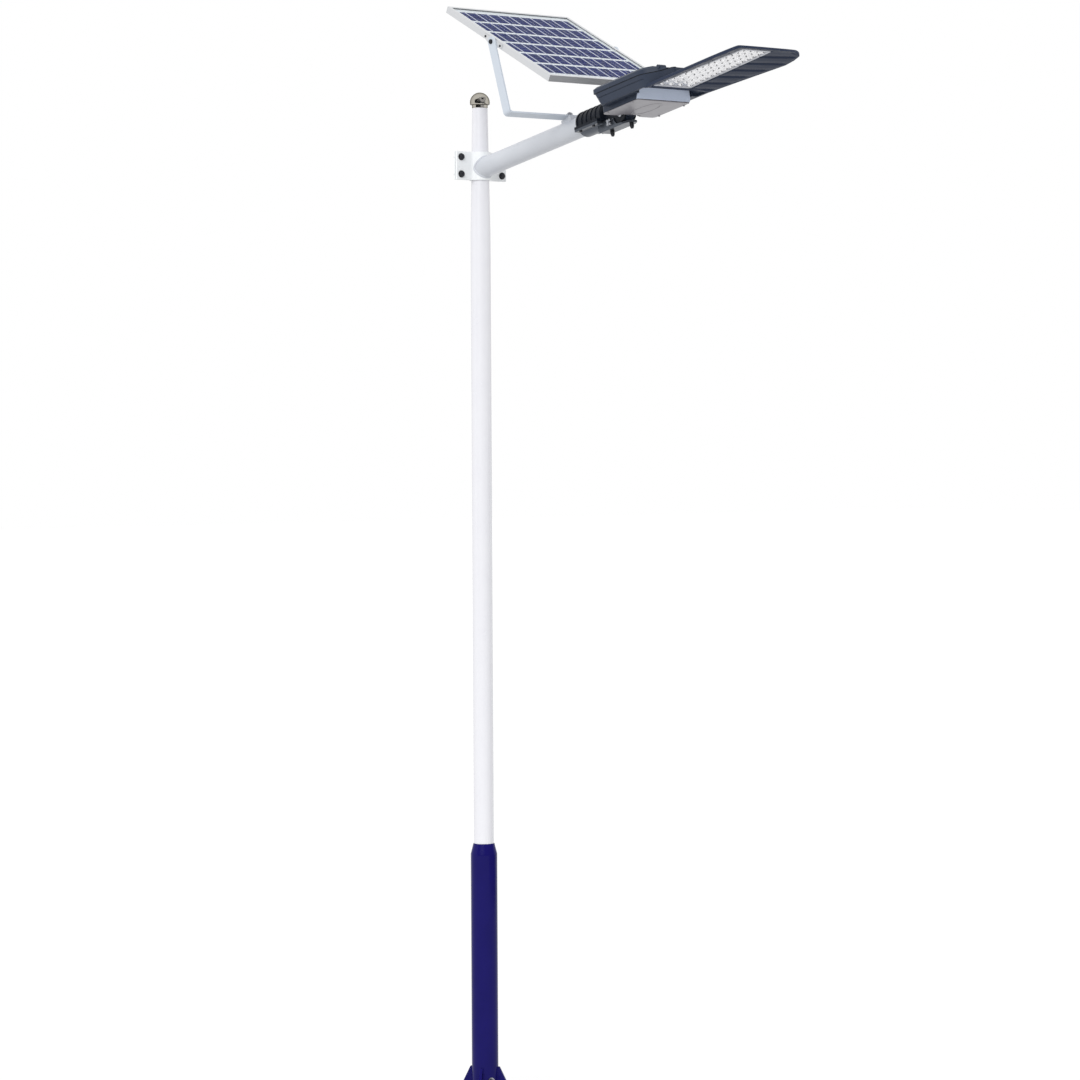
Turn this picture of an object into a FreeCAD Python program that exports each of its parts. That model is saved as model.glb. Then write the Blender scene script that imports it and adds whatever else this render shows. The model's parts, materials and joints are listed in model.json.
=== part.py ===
import FreeCAD, Part
import math
import os

# Solar street lamp. Millimetres, +Z up. The origin is the centre of the underside of the base
# plate, on the axis of the pole, and the arm points along +X.

Vector = FreeCAD.Vector
Rotation = FreeCAD.Rotation
Placement = FreeCAD.Placement
Z_AXIS = Vector(0, 0, 1)

# ---- driving dimensions ---------------------------------------------------------------------

# Base
plate_side = 260.0
plate_thickness = 14.0
plate_corner = 20.0
plate_bore = 60.0
base_turn = 38.0            # degrees that the base is turned from the arm
anchor_circle = 284.0       # pitch circle of the four anchor holes
anchor_hole = 20.0
sleeve_dia = 80.0
sleeve_wall = 3.5
sleeve_top = 798.0          # top of the coned neck, above the underside of the plate
neck_length = 32.0
neck_lip = 2.0              # steel left around the pole at the top of the neck
gusset_top = 124.0
gusset_reach = 94.0         # outer edge at the plate, from the pole's axis
gusset_toe = 10.0           # height of the gusset's outer edge
gusset_head = 5.0           # width of the gusset's top
gusset_thickness = 9.0
earth_height = 84.0
earth_turn = -11.0          # degrees around the sleeve, from the arm
earth_boss_dia = 22.0
earth_boss_height = 3.0
earth_stud_dia = 8.0
earth_stud_length = 12.0
earth_washer_dia = 18.0
earth_nut_across = 14.0
earth_nut_height = 6.0

# Pole
pole_dia = 60.0
pole_wall = 2.5
pole_socket = 160.0         # length of pole inside the sleeve
seat_height = 20.0          # ring that the pole stands on, inside the sleeve
seat_bore = 44.0
taper_start = 2612.0
pole_top = 3002.0
pole_top_dia = 46.0
ball_dia = 59.0
ball_rise = 17.0            # centre of the ball above the top of the pole
ferrule_height = 10.0
ferrule_overhang = 0.4      # ferrule proud of the pole, all round
cap_wall = 2.0
plug_length = 34.0
plug_neck_dia = 38.0        # part of the plug inside the ball
fit_clearance = 0.1         # radial, of a sliding fit that is then fixed

# Clamp
clamp_centre = 2828.0
clamp_height = 84.0
clamp_plate = 5.5
clamp_gap = 3.0             # between the ears of the two halves
clamp_half_width = 92.5
clamp_clearance = 0.3       # pole to clamp, all round
clamp_bolt_y = 76.0
clamp_bolt_z = 25.5
clamp_bolt_dia = 10.0
clamp_head_dia = 18.0
clamp_head_height = 7.0
clamp_bolt_end = 14.0       # thread beyond the rear washer
clamp_washer_dia = 21.0
clamp_nut_across = 17.0
clamp_nut_height = 8.0
clamp_fillet = 12.0
washer_thickness = 1.6

# Arm, its axis crosses the pole's axis
arm_dia = 60.0
arm_wall = 2.5
arm_angle = 10.8            # degrees above level
arm_length = 612.0          # along the arm, from the pole's axis
arm_drop = 9.0              # crossing point of the axes, below the middle of the clamp

# Panel bracket
swivel_back = 163.0         # swivel stud behind the end of the arm
saddle_length = 44.0
saddle_width = 36.0
saddle_height = 6.0         # at the stud
saddle_lean = 19.0          # degrees that the swivel axis leans back from upright
stud_dia = 10.0
stud_end = 11.0             # thread above the washer
stud_root = 8.0             # below the wall of the arm
swivel_washer_dia = 22.0
swivel_nut_across = 17.0
swivel_nut_height = 8.0
flat_gap = 0.35              # between flat faces that turn on each other
running = 0.08              # radial clearance of a turning fit
strip_width = 30.0
strip_thickness = 5.0
strip_bend = 7.0
leg_height = 226.0          # underside of the strip to the tilt axis
tilt_bolt_dia = 5.0
tilt_bolt_length = 21.0
tilt_head_dia = 12.0
tilt_head_height = 4.5
tilt_washer_dia = 14.0
tilt_nut_across = 8.0
tilt_nut_height = 4.0

# Panel
panel_width = 446.0
panel_length = 538.0
panel_tilt = 26.5           # degrees, front edge down
rail_height = 20.0
rail_wall = 1.6
rail_lip = 9.0
rail_foot = 17.0
shelf_gap = 0.2             # laminate to the shelf under it
glass_thickness = 3.2
cell_thickness = 0.3
ribbon_thickness = 0.1
backsheet_thickness = 0.9
glass_side_gap = 1.0
cell_columns = 5
cell_rows = 6
cell_size = 79.0
cell_depth = 68.0
column_pitch = 80.5
row_pitch = 81.0
ribbons_per_cell = 2
ribbon_width = 4.5
lug_length = 92.0
lug_thickness = 2.5
lug_top = 4.0               # below the top of the rail
lug_drop = 4.0              # below the rail
lug_screw_dia = 4.0
lug_screw_head = 7.0
lug_screw_inset = 8.0       # from the end of the lug
lug_screw_level = 1.0       # below the middle of the rail
lug_screw_end = 2.0         # thread inside the rail
tilt_drop = 3.0             # tilt axis below the middle of the rail
tilt_back = 19.0            # tilt axis behind the middle of the panel
leg_gap = 0.5               # between the leg and the panel's side
key_arm = 34.0
key_thickness = 3.0
box_length = 84.0
box_width = 110.0
box_height = 22.0
box_wall = 2.4
box_back = 150.0            # junction box behind the middle of the panel
gland_across = 15.0
gland_thread = 10.0
gland_cap_dia = 13.5
gland_mouth_dia = 10.0
gland_bore = 7.0
gland_length = 18.0

# Spigot adaptor
barrel_grip = 96.0          # length of arm inside the adaptor
barrel_length = 110.0
barrel_wall = 6.5
barrel_end = 6.0            # thickness of the closed end
split_drop = 18.0           # joint of barrel and cradle below the arm's axis
split_gap = 0.3
flange_out = 9.0
flange_thickness = 7.0
flange_screw_dia = 5.0
flange_screw_head = 9.0
flange_screw_inset = 22.0   # from the ends of the flange
flange_screw_end = 2.0      # thread above the flange
ring_count = 6
ring_width = 6.0
ring_height = 2.0
knuckle_stand = 84.0        # knuckle axis beyond the end of the arm
knuckle_drop = 17.0         # knuckle axis below the arm's axis
knuckle_radius = 21.0
knuckle_half = 15.0
knuckle_gap = 0.5           # knuckle to the ears
knuckle_rise = 18.0         # top of the knuckle's root above its axis
knuckle_fall = 12.0         # underside of the root below the axis
ear_thickness = 5.0
ear_radius = 22.0
pin_dia = 12.0
pin_head_dia = 18.0
pin_head_height = 5.0
pin_nut_across = 19.0
pin_nut_height = 7.0
pin_end = 2.0               # thread beyond the nut
cradle_drop = 48.0          # underside of the cradle below the arm's axis
cradle_plate = 6.0
cradle_tail = 24.0          # overlap of the plate and the trough
cradle_nose = 32.0          # cradle beyond the knuckle axis
cradle_nose_half = 12.0
cradle_bevel = 5.0          # along both lower edges
cheek_gap = 0.3             # cheek to ear
cheek_thickness = 4.0
cheek_relief = 29.0         # radius of the hollow round the knuckle
cheek_top = 22.0            # crest of the cheeks below the arm's axis
star_stand = 40.0           # star nut beyond the end of the arm
star_drop = 31.0
star_radius = 9.0
star_thickness = 7.0
star_nut_across = 13.0
star_nut_height = 6.0
star_end = 3.0              # thread beyond the nuts
cradle_bolt_dia = 8.0
cradle_head_dia = 12.5
cradle_head_height = 16.0

# Lamp head. Its datum lies near the arm's axis at the foot of the window.
head_stand = 213.0          # ahead of the knuckle axis
head_rise = 7.0
body_rear = 187.0           # behind the datum
body_half = 132.0           # at the joint
body_draft = 10.0           # the walls draw in by this much down to the floor
body_bottom = -16.0
body_joint = 17.0           # joint of housing and lid
body_wall = 4.0
body_corner = 12.0
groove_level = 4.0
groove_width = 3.0
groove_depth = 1.5
lid_overhang = 3.0
lid_top = 36.0
lid_wall = 3.5
lid_edge = 6.0              # height of the bevel round the lid
lid_bevel = 7.0
hump_rear = 130.0
hump_front = 10.0
hump_rear_half = 66.0
hump_front_half = 52.0
hump_height = 8.0
hump_bevel = 6.0
hump_radius = 18.0
fin_count = 7
fin_pitch = 15.0
fin_slot = 7.0
fin_depth = 7.0
hinge_reach = 66.0
hinge_side = 90.0
hinge_length = 26.0
hinge_radius = 6.0
gasket_thickness = 1.5
shoulder = 24.0             # where the sides start to draw in, ahead of the datum
shoulder_radius = 60.0
waist_radius = 40.0
nose_radius = 10.0
nose_half = 96.0
nose_start = 70.0
nose_end = 112.0
nose_tip_half = 88.0
slope_start = 50.0          # front slope of the lid
slope_low = 14.0            # its level at the nose
box_rear = 203.0            # battery box behind the datum
box_half = 96.0
box_front_edge = 32.0
bay_depth = 14.0            # bay in the back of the battery box, round the knuckle
bay_half = 33.0
box_floor = -30.0
step_lean = 12.0            # lower edge of the step behind its upper edge
step_thickness = 4.0
step_chamfer = 8.0
step_gap = 0.2
cover_thickness = 3.0
cover_rear_radius = 12.0
cover_front_radius = 5.0
cover_seal_thickness = 1.0
cover_screw_dia = 3.0
cover_screw_head = 6.0
cover_screw_inset = 24.0
oval_long = 60.0
oval_short = 30.0
oval_width = 4.0
oval_height = 1.0
wing_fold_gap = 1.0         # frame of the window to the fold, ahead of which the front droops
wing_front_length = 51.0    # fold to front edge
wing_rear_half = 114.0
wing_wide_back = 43.0       # widest place behind the fold
wing_wide_half = 136.0
wing_shoulder_back = 2.0    # shoulder behind the fold
wing_tip_half = 131.0
wing_corner_out = 36.0      # corner ahead of the fold
wing_corner_half = 121.0
wing_nose_half = 60.0
wing_nose_drop = 16.0       # fall of the front edge
wing_limit = 145.0          # distance from the middle where the droop is taken
wing_droop = 26.8           # fall of the underside at that distance
wing_flat = 56.0            # half-width of the flat part under the wing
wing_top_flat = 49.0        # half-width of the flat part on top
wing_crown = 12.0           # thickness in the middle, at the rear
wing_tip_crown = 6.8        # the same at the front
wing_seat = 10.0            # height of the wing under the housing
wing_rim = 8.5
spine_rear_half = 52.0
spine_front_half = 30.0
spine_draft = 8.0
spine_length = 228.0
rib_count = 7
rib_start = -18.0           # foot of the first rib, ahead of the datum
rib_pitch = 66.0
rib_width = 10.0
rib_height = 2.5
rib_sweep = 50.0            # degrees
rib_inset = 9.0             # ends of the ribs inside the rim
window_length = 359.0
window_rear_half = 63.0
window_tip_half = 47.0
window_corner = 4.0
window_depth = 5.5
bezel_width = 5.5
bezel_lip = 3.0
bezel_height = 2.5
bezel_screw_dia = 2.5
bezel_screw_head = 4.4
bezel_screw_rows = 4
lens_thickness = 2.5
lens_height = 4.0
lens_columns = 4
lens_rows = 15
lens_radius = 6.5
lens_margin = 12.0          # lens centres to the side of the window
lens_end_margin = 15.0
seal_width = 4.5
board_thickness = 2.0
chip_size = 5.0
chip_height = 0.7
battery_dia = 32.0
battery_length = 68.0
battery_gap = 1.0
battery_rows = 3
holder_plate = 2.0
holder_width = 140.0
controller_length = 100.0
controller_width = 70.0
controller_height = 15.0
gland_side = 67.0           # cable gland beside the middle of the rear wall
gland_level = 2.0
gland_pad = 21.0

# ---- small tools ----------------------------------------------------------------------------


def cylinder(radius, height, base=Vector(0, 0, 0), axis=Z_AXIS):
    return Part.makeCylinder(radius, height, base, axis)


def across_prism(points, x0, x1):
    """A flat shape given as Y and Z, carried from x0 to x1."""
    corners = [Vector(x0, y, z) for y, z in points]
    face = Part.Face(Part.makePolygon(corners + [corners[0]]))
    return face.extrude(Vector(x1 - x0, 0, 0))


def block(x0, x1, y0, y1, z0, z1):
    return Part.makeBox(x1 - x0, y1 - y0, z1 - z0, Vector(x0, y0, z0))


def bar(start, end, radius):
    """A round bar between two points."""
    return Part.makeCylinder(radius, (end - start).Length, start, end - start)


def hexagon(across, height, base, axis):
    """A hexagonal nut blank on an axis."""
    radius = across / math.sqrt(3.0)
    points = [Vector(radius * math.cos(math.radians(60 * k)), radius * math.sin(math.radians(60 * k)), 0)
              for k in range(6)]
    face = Part.Face(Part.makePolygon(points + [points[0]]))
    solid = face.extrude(Vector(0, 0, height))
    solid.Placement = Placement(base, Rotation(Z_AXIS, axis))
    return solid


def outline(points, radii, level=0.0):
    """A closed wire in a level plane, each corner rounded by an arc of its own radius."""
    count = len(points)
    edges = []
    joints = []
    for k in range(count):
        before = Vector(*points[k - 1], level)
        corner = Vector(*points[k], level)
        after = Vector(*points[(k + 1) % count], level)
        into = (before - corner).normalize()
        out = (after - corner).normalize()
        half = into.getAngle(out) / 2.0
        reach = radii[k] / math.tan(half)
        start = corner + into * reach
        end = corner + out * reach
        middle = corner + (into + out).normalize() * (radii[k] / math.sin(half) - radii[k])
        joints.append((start, middle, end))
    for k in range(count):
        start, middle, end = joints[k]
        if radii[k] > 0:
            edges.append(Part.Arc(start, middle, end).toShape())
        edges.append(Part.LineSegment(end, joints[(k + 1) % count][0]).toShape())
    return Part.Wire(edges)


def prism(points, radii, low, high):
    return Part.Face(outline(points, radii, low)).extrude(Vector(0, 0, high - low))


def mirrored(half):
    """Closes a half outline, given from rear to front on the +Y side, over the X axis."""
    return list(half) + [(x, -y) for x, y in reversed(half)]


def side_prism(points, y0, y1):
    """A flat shape given as X and Z, carried from y0 to y1."""
    corners = [Vector(x, y0, z) for x, z in points]
    face = Part.Face(Part.makePolygon(corners + [corners[0]]))
    return face.extrude(Vector(0, y1 - y0, 0))


def bolt(base, axis, dia, length, head_dia, head_height):
    """A shank along the axis from the base, with a domed head behind the base."""
    axis = Vector(axis).normalize()
    shank = Part.makeCylinder(dia / 2, length, base, axis)
    disc = Part.makeCylinder(head_dia / 2, head_height * 0.6, base, axis * -1)
    dome = Part.makeCone(head_dia / 2, head_dia / 3.2, head_height * 0.4,
                         base - axis * (head_height * 0.6), axis * -1)
    return shank.fuse(disc).fuse(dome)


def washer(base, axis, dia, bore, thickness):
    ring = Part.makeCylinder(dia / 2, thickness, base, axis)
    return ring.cut(Part.makeCylinder(bore / 2, thickness, base, axis))


def nut(base, axis, across, height, bore):
    return hexagon(across, height, base, axis).cut(Part.makeCylinder(bore / 2, height, base, axis))


def placed(shape, placement):
    moved = shape.copy()
    moved.Placement = placement.multiply(moved.Placement)
    return moved


def write(name, *shapes):
    """One STEP file for one node, holding each of its solids."""
    solids = []
    for shape in shapes:
        solids += shape.removeSplitter().Solids
    result = solids[0] if len(solids) == 1 else Part.makeCompound(solids)
    result.exportStep("parts/%s.step" % name)


os.makedirs("parts", exist_ok=True)

# ---- base -----------------------------------------------------------------------------------

sleeve_radius = sleeve_dia / 2
sleeve_inner = sleeve_radius - sleeve_wall
pole_radius = pole_dia / 2
neck_start = sleeve_top - neck_length
base_placement = Placement(Vector(0, 0, 0), Rotation(Z_AXIS, base_turn))

half_side = plate_side / 2
plate = prism([(-half_side, -half_side), (half_side, -half_side), (half_side, half_side),
               (-half_side, half_side)], [plate_corner] * 4, 0, plate_thickness)
plate = plate.cut(cylinder(plate_bore / 2, plate_thickness))
for k in range(4):
    turn = math.radians(45 + 90 * k)
    centre = Vector(anchor_circle / 2 * math.cos(turn), anchor_circle / 2 * math.sin(turn), 0)
    plate = plate.cut(cylinder(anchor_hole / 2, plate_thickness, centre))
write("base_plate", placed(plate, base_placement))

gusset_shape = [(sleeve_inner, plate_thickness), (gusset_reach, plate_thickness),
                (gusset_reach, plate_thickness + gusset_toe), (sleeve_radius + gusset_head, gusset_top),
                (sleeve_inner, gusset_top)]
gussets = []
for k in range(4):
    rib = side_prism(gusset_shape, -gusset_thickness / 2, gusset_thickness / 2)
    rib = rib.cut(cylinder(sleeve_radius, sleeve_top))
    gussets.append(placed(rib, Placement(Vector(0, 0, 0), Rotation(Z_AXIS, base_turn + 90 * k))))
write("base_gussets", *gussets)

sleeve_profile = [(sleeve_inner, plate_thickness), (sleeve_radius, plate_thickness),
                  (sleeve_radius, neck_start), (pole_radius + neck_lip, sleeve_top),
                  (pole_radius + fit_clearance, sleeve_top),
                  (pole_radius + fit_clearance, sleeve_top - neck_lip * 3), (sleeve_inner, neck_start)]
corners = [Vector(x, 0, z) for x, z in sleeve_profile]
sleeve = Part.Face(Part.makePolygon(corners + [corners[0]])).revolve(Vector(0, 0, 0), Z_AXIS, 360)
earth_axis = Vector(math.cos(math.radians(earth_turn)), math.sin(math.radians(earth_turn)), 0)
earth_face = earth_axis * (sleeve_radius + earth_boss_height) + Vector(0, 0, earth_height)
write("base_sleeve", sleeve)
boss = bar(earth_axis * sleeve_inner + Vector(0, 0, earth_height), earth_face, earth_boss_dia / 2)
boss = boss.fuse(bar(earth_face, earth_face + earth_axis * earth_stud_length, earth_stud_dia / 2))
boss = boss.cut(cylinder(sleeve_radius, sleeve_top))
write("earth_stud", boss)
nut_face = earth_face + earth_axis * washer_thickness
nut_top = nut_face + earth_axis * earth_nut_height
dome = Part.makeSphere(earth_nut_across / 2, nut_top)
dome = dome.common(Part.makeCylinder(earth_nut_across, earth_nut_across, nut_top, earth_axis))
dome_nut = hexagon(earth_nut_across, earth_nut_height, nut_face, earth_axis).fuse(dome)
dome_nut = dome_nut.cut(Part.makeCylinder(earth_stud_dia / 2, earth_stud_length - washer_thickness, nut_face,
                                          earth_axis))
earth_washer = washer(earth_face, earth_axis, earth_washer_dia, earth_stud_dia, washer_thickness)
write("earth_nut", earth_washer, dome_nut)

# ---- pole -----------------------------------------------------------------------------------

pole_bottom = sleeve_top - pole_socket
pole_top_radius = pole_top_dia / 2


def tapered(extra, low, high):
    """The pole's outside, grown by extra, between two heights."""
    straight = max(low, min(high, taper_start))
    solid = None
    if straight > low:
        solid = cylinder(pole_radius + extra, straight - low, Vector(0, 0, low))
    if high > straight:
        fall = (pole_radius - pole_top_radius) / (pole_top - taper_start)
        first = pole_radius - fall * (straight - taper_start) + extra
        last = pole_radius - fall * (high - taper_start) + extra
        cone = Part.makeCone(first, last, high - straight, Vector(0, 0, straight))
        solid = cone if solid is None else solid.fuse(cone)
    return solid


pole = tapered(0, pole_bottom, pole_top).cut(tapered(-pole_wall, pole_bottom, pole_top))
write("pole_tube", pole)
seat_base = Vector(0, 0, pole_bottom - seat_height)
seat_ring = cylinder(sleeve_inner - fit_clearance, seat_height, seat_base)
write("pole_seat", seat_ring.cut(cylinder(seat_bore / 2, seat_height, seat_base)))

pole_end = Vector(0, 0, pole_top)
ball_centre = Vector(0, 0, pole_top + ball_rise)
ball = Part.makeSphere(ball_dia / 2, ball_centre)
ball = ball.common(cylinder(ball_dia, ball_dia * 2, Vector(0, 0, pole_top + ferrule_height)))
ball = ball.fuse(cylinder(pole_top_radius + ferrule_overhang, ferrule_height, pole_end))
hollow = Part.makeSphere(ball_dia / 2 - cap_wall, ball_centre)
hollow = hollow.common(cylinder(ball_dia, ball_dia * 2, Vector(0, 0, pole_top + ferrule_height + cap_wall)))
hollow = hollow.fuse(cylinder(plug_neck_dia / 2 + fit_clearance, ball_rise, pole_end))
write("cap_ball", ball.cut(hollow))
plug_radius = pole_top_radius - pole_wall - fit_clearance
plug = cylinder(plug_radius, plug_length, Vector(0, 0, pole_top - plug_length))
write("cap_plug", plug.fuse(cylinder(plug_neck_dia / 2, ferrule_height, pole_end)))

# ---- clamp ----------------------------------------------------------------------------------

clamp_low = clamp_centre - clamp_height / 2
clamp_high = clamp_centre + clamp_height / 2
clamp_taper = (pole_radius - pole_top_radius) / (pole_top - taper_start)
hoop_inner = pole_radius - clamp_taper * max(0.0, clamp_low - taper_start) + clamp_clearance
hoop_outer = hoop_inner + clamp_plate
ear_face = clamp_gap / 2 + clamp_plate
clamp_bore = tapered(clamp_clearance, clamp_low - 1, clamp_high + 1)


def clamp_half():
    """One half of the clamp, on the +X side: a half hoop with a flat ear on each side."""
    foot = math.sqrt((hoop_outer + clamp_fillet) ** 2 - (ear_face + clamp_fillet) ** 2)
    web = block(clamp_gap / 2, ear_face + clamp_fillet, -foot, foot, clamp_low, clamp_high)
    for side in (-1, 1):
        hollow_base = Vector(ear_face + clamp_fillet, side * foot, clamp_low)
        web = web.cut(cylinder(clamp_fillet, clamp_height, hollow_base))
    touch = hoop_outer * (ear_face + clamp_fillet) / (hoop_outer + clamp_fillet)
    web = web.common(block(0, touch, -foot, foot, clamp_low, clamp_high))
    ears = block(clamp_gap / 2, ear_face, -clamp_half_width, clamp_half_width, clamp_low, clamp_high)
    near = block(clamp_gap / 2, hoop_outer * 2, -hoop_outer, hoop_outer, clamp_low, clamp_high)
    hoop = cylinder(hoop_outer, clamp_height, Vector(0, 0, clamp_low)).common(near)
    return hoop.fuse(ears).fuse(web).cut(clamp_bore)


clamp_bolt_places = [(side * clamp_bolt_y, clamp_centre + level * clamp_bolt_z)
                     for side in (-1, 1) for level in (-1, 1)]
front = clamp_half()
for y, z in clamp_bolt_places:
    front = front.cut(bar(Vector(0, y, z), Vector(ear_face * 2, y, z), clamp_bolt_dia / 2))
rear = placed(front, Placement(Vector(0, 0, 0), Rotation(Z_AXIS, 180)))
write("clamp_front", front)
write("clamp_rear", rear)
bolts = []
washers = []
nuts = []
forward = Vector(1, 0, 0)
backward = Vector(-1, 0, 0)
for y, z in clamp_bolt_places:
    x = ear_face + washer_thickness
    bolts.append(bolt(Vector(x, y, z), backward, clamp_bolt_dia, x * 2 + clamp_bolt_end, clamp_head_dia,
                      clamp_head_height))
    for face, axis in ((ear_face, forward), (-ear_face, backward)):
        washers.append(washer(Vector(face, y, z), axis, clamp_washer_dia, clamp_bolt_dia, washer_thickness))
    nuts.append(nut(Vector(-x, y, z), backward, clamp_nut_across, clamp_nut_height, clamp_bolt_dia))
write("clamp_bolts", *bolts)
write("clamp_washers", *washers)
write("clamp_nuts", *nuts)

# ---- arm ------------------------------------------------------------------------------------

# Arm frame: X along the arm from the pole's axis, Z square to the arm and upwards.
arm_turn = Rotation(Vector(0, 1, 0), -arm_angle)
arm_root = Vector(0, 0, clamp_centre - arm_drop)
arm_frame = Placement(arm_root, arm_turn)
arm_radius = arm_dia / 2
along = Vector(1, 0, 0)
across = Vector(0, 1, 0)

arm = cylinder(arm_radius, arm_length, Vector(0, 0, 0), along)
arm = arm.cut(cylinder(arm_radius - arm_wall, arm_length, Vector(0, 0, 0), along))
arm = placed(arm, arm_frame)
arm = arm.cut(cylinder(hoop_outer, clamp_height * 2, Vector(0, 0, clamp_centre - clamp_height)))
arm = max(arm.Solids, key=lambda solid: solid.BoundBox.XMax)

# Swivel frame: origin on the saddle's top, Z along the leaning swivel axis.
swivel_reach = arm_length - swivel_back
saddle_top = arm_frame.multVec(Vector(swivel_reach, 0, arm_radius + saddle_height))
swivel_frame = Placement(saddle_top, Rotation(Vector(0, 1, 0), -saddle_lean))
stud_radius = stud_dia / 2
stud_up = strip_thickness + flat_gap * 2 + washer_thickness + stud_end
stud_down = saddle_height + arm_wall + stud_root
stud = placed(cylinder(stud_radius, stud_up + stud_down, Vector(0, 0, -stud_down)), swivel_frame)
saddle = placed(block(-saddle_length / 2, saddle_length / 2, -saddle_width / 2, saddle_width / 2,
                      -saddle_height * 3, 0), swivel_frame)
saddle = saddle.cut(placed(cylinder(arm_radius, arm_length, Vector(0, 0, 0), along), arm_frame))
write("arm_tube", arm.cut(stud))
write("bracket_saddle", saddle.cut(stud))
write("swivel_stud", stud)
strip_top = flat_gap + strip_thickness
washer_base = Vector(0, 0, strip_top + flat_gap)
nut_base = washer_base + Vector(0, 0, washer_thickness)
swivel_washer = washer(washer_base, Z_AXIS, swivel_washer_dia, stud_dia, washer_thickness)
swivel_nut = nut(nut_base, Z_AXIS, swivel_nut_across, swivel_nut_height, stud_dia)
write("swivel_nut", placed(swivel_washer, swivel_frame), placed(swivel_nut, swivel_frame))

# ---- panel bracket --------------------------------------------------------------------------

half_panel = panel_width / 2
leg_inner = half_panel + lug_thickness + leg_gap
leg_outer = leg_inner + strip_thickness
tilt_height = flat_gap + leg_height
strip_half = strip_width / 2
outer = [(-leg_outer, flat_gap), (leg_outer, flat_gap), (leg_outer, tilt_height),
         (-leg_outer, tilt_height)]
inner = [(-leg_inner, strip_top), (leg_inner, strip_top), (leg_inner, tilt_height * 2),
         (-leg_inner, tilt_height * 2)]
bend = strip_bend + strip_thickness
strip = prism(outer, [bend, bend, 0, 0], -strip_half, strip_half)
strip = strip.cut(prism(inner, [strip_bend, strip_bend, 0, 0], -strip_half, strip_half))
strip.Placement = Placement(Vector(0, 0, 0), Rotation(across, Z_AXIS, along, "ZXY"))
for side in (-1, 1):
    start = Vector(0, side * (leg_inner + strip_thickness / 2) - strip_thickness / 2, tilt_height)
    strip = strip.fuse(cylinder(strip_half, strip_thickness, start, across))
    strip = strip.cut(cylinder(tilt_bolt_dia / 2, strip_thickness, start, across))
strip = strip.cut(cylinder(stud_radius + running, strip_thickness * 2, Vector(0, 0, 0)))
write("panel_bracket", placed(strip, swivel_frame))

tilt_bolts = []
tilt_nuts = []
for side in (-1, 1):
    head = Vector(0, side * (leg_outer + washer_thickness), tilt_height)
    inner_face = Vector(0, side * (half_panel - rail_wall - flat_gap), tilt_height)
    inwards = Vector(0, -side, 0)
    tilt_bolts.append(bolt(head, inwards, tilt_bolt_dia, tilt_bolt_length, tilt_head_dia, tilt_head_height))
    tilt_bolts.append(washer(head, inwards, tilt_washer_dia, tilt_bolt_dia, washer_thickness))
    tilt_nuts.append(nut(inner_face, inwards, tilt_nut_across, tilt_nut_height, tilt_bolt_dia))
write("tilt_bolts", *[placed(piece, swivel_frame) for piece in tilt_bolts])
write("tilt_nuts", *[placed(piece, swivel_frame) for piece in tilt_nuts])

# ---- panel ----------------------------------------------------------------------------------

# Panel frame: origin at the middle of the panel, X down the slope, Z out of the glass.
tilt_axis_point = swivel_frame.multVec(Vector(0, 0, tilt_height))
half_rail = rail_height / 2
tilt_local = Vector(-tilt_back, 0, -tilt_drop)
panel_turn = Rotation(Vector(0, 1, 0), panel_tilt)
panel_frame = Placement(tilt_axis_point - panel_turn.multVec(tilt_local), panel_turn)

lip_under = half_rail - rail_wall
glass_low = lip_under - glass_thickness
sheet_high = glass_low - cell_thickness - ribbon_thickness
sheet_low = sheet_high - backsheet_thickness
shelf_top = sheet_low - shelf_gap
rail_section = [(0, -half_rail), (rail_foot, -half_rail), (rail_foot, -half_rail + rail_wall),
                (rail_wall, -half_rail + rail_wall), (rail_wall, shelf_top - rail_wall),
                (rail_lip, shelf_top - rail_wall), (rail_lip, shelf_top), (rail_wall, shelf_top),
                (rail_wall, lip_under), (rail_lip, lip_under), (rail_lip, half_rail), (0, half_rail)]


def rail(length, offset):
    """A mitred rail along X, its outer face at Y = offset."""
    corners = [Vector(-length / 2, offset - u, z) for u, z in rail_section]
    solid = Part.Face(Part.makePolygon(corners + [corners[0]])).extrude(Vector(length, 0, 0))
    depth = rail_foot + rail_wall
    keep = [(-length / 2, offset), (length / 2, offset), (length / 2 - depth, offset - depth),
            (-length / 2 + depth, offset - depth)]
    return solid.common(prism(keep, [0] * 4, -half_rail, half_rail))


side_rails = []
end_rails = []
keys = []
for side in (0, 1):
    half_turn = Placement(Vector(0, 0, 0), Rotation(Z_AXIS, 180 * side))
    quarter = Placement(Vector(0, 0, 0), Rotation(Z_AXIS, 90 + 180 * side))
    side_rails.append(placed(rail(panel_length, half_panel), half_turn))
    end_rails.append(placed(rail(panel_width, panel_length / 2), quarter))
key_low = -half_rail + rail_wall
key_high = shelf_top - rail_wall
inner_x = panel_length / 2 - rail_wall
inner_y = half_panel - rail_wall
key = block(inner_x - key_arm, inner_x, inner_y - key_thickness, inner_y, key_low, key_high)
key = key.fuse(block(inner_x - key_thickness, inner_x, inner_y - key_arm, inner_y, key_low, key_high))
for sx in (-1, 1):
    for sy in (-1, 1):
        flipped = FreeCAD.Matrix(sx, 0, 0, 0, 0, sy, 0, 0, 0, 0, 1, 0, 0, 0, 0, 1)
        keys.append(key.transformGeometry(flipped))
write("frame_end_rails", *[placed(piece, panel_frame) for piece in end_rails])
write("corner_keys", *[placed(piece, panel_frame) for piece in keys])

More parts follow.
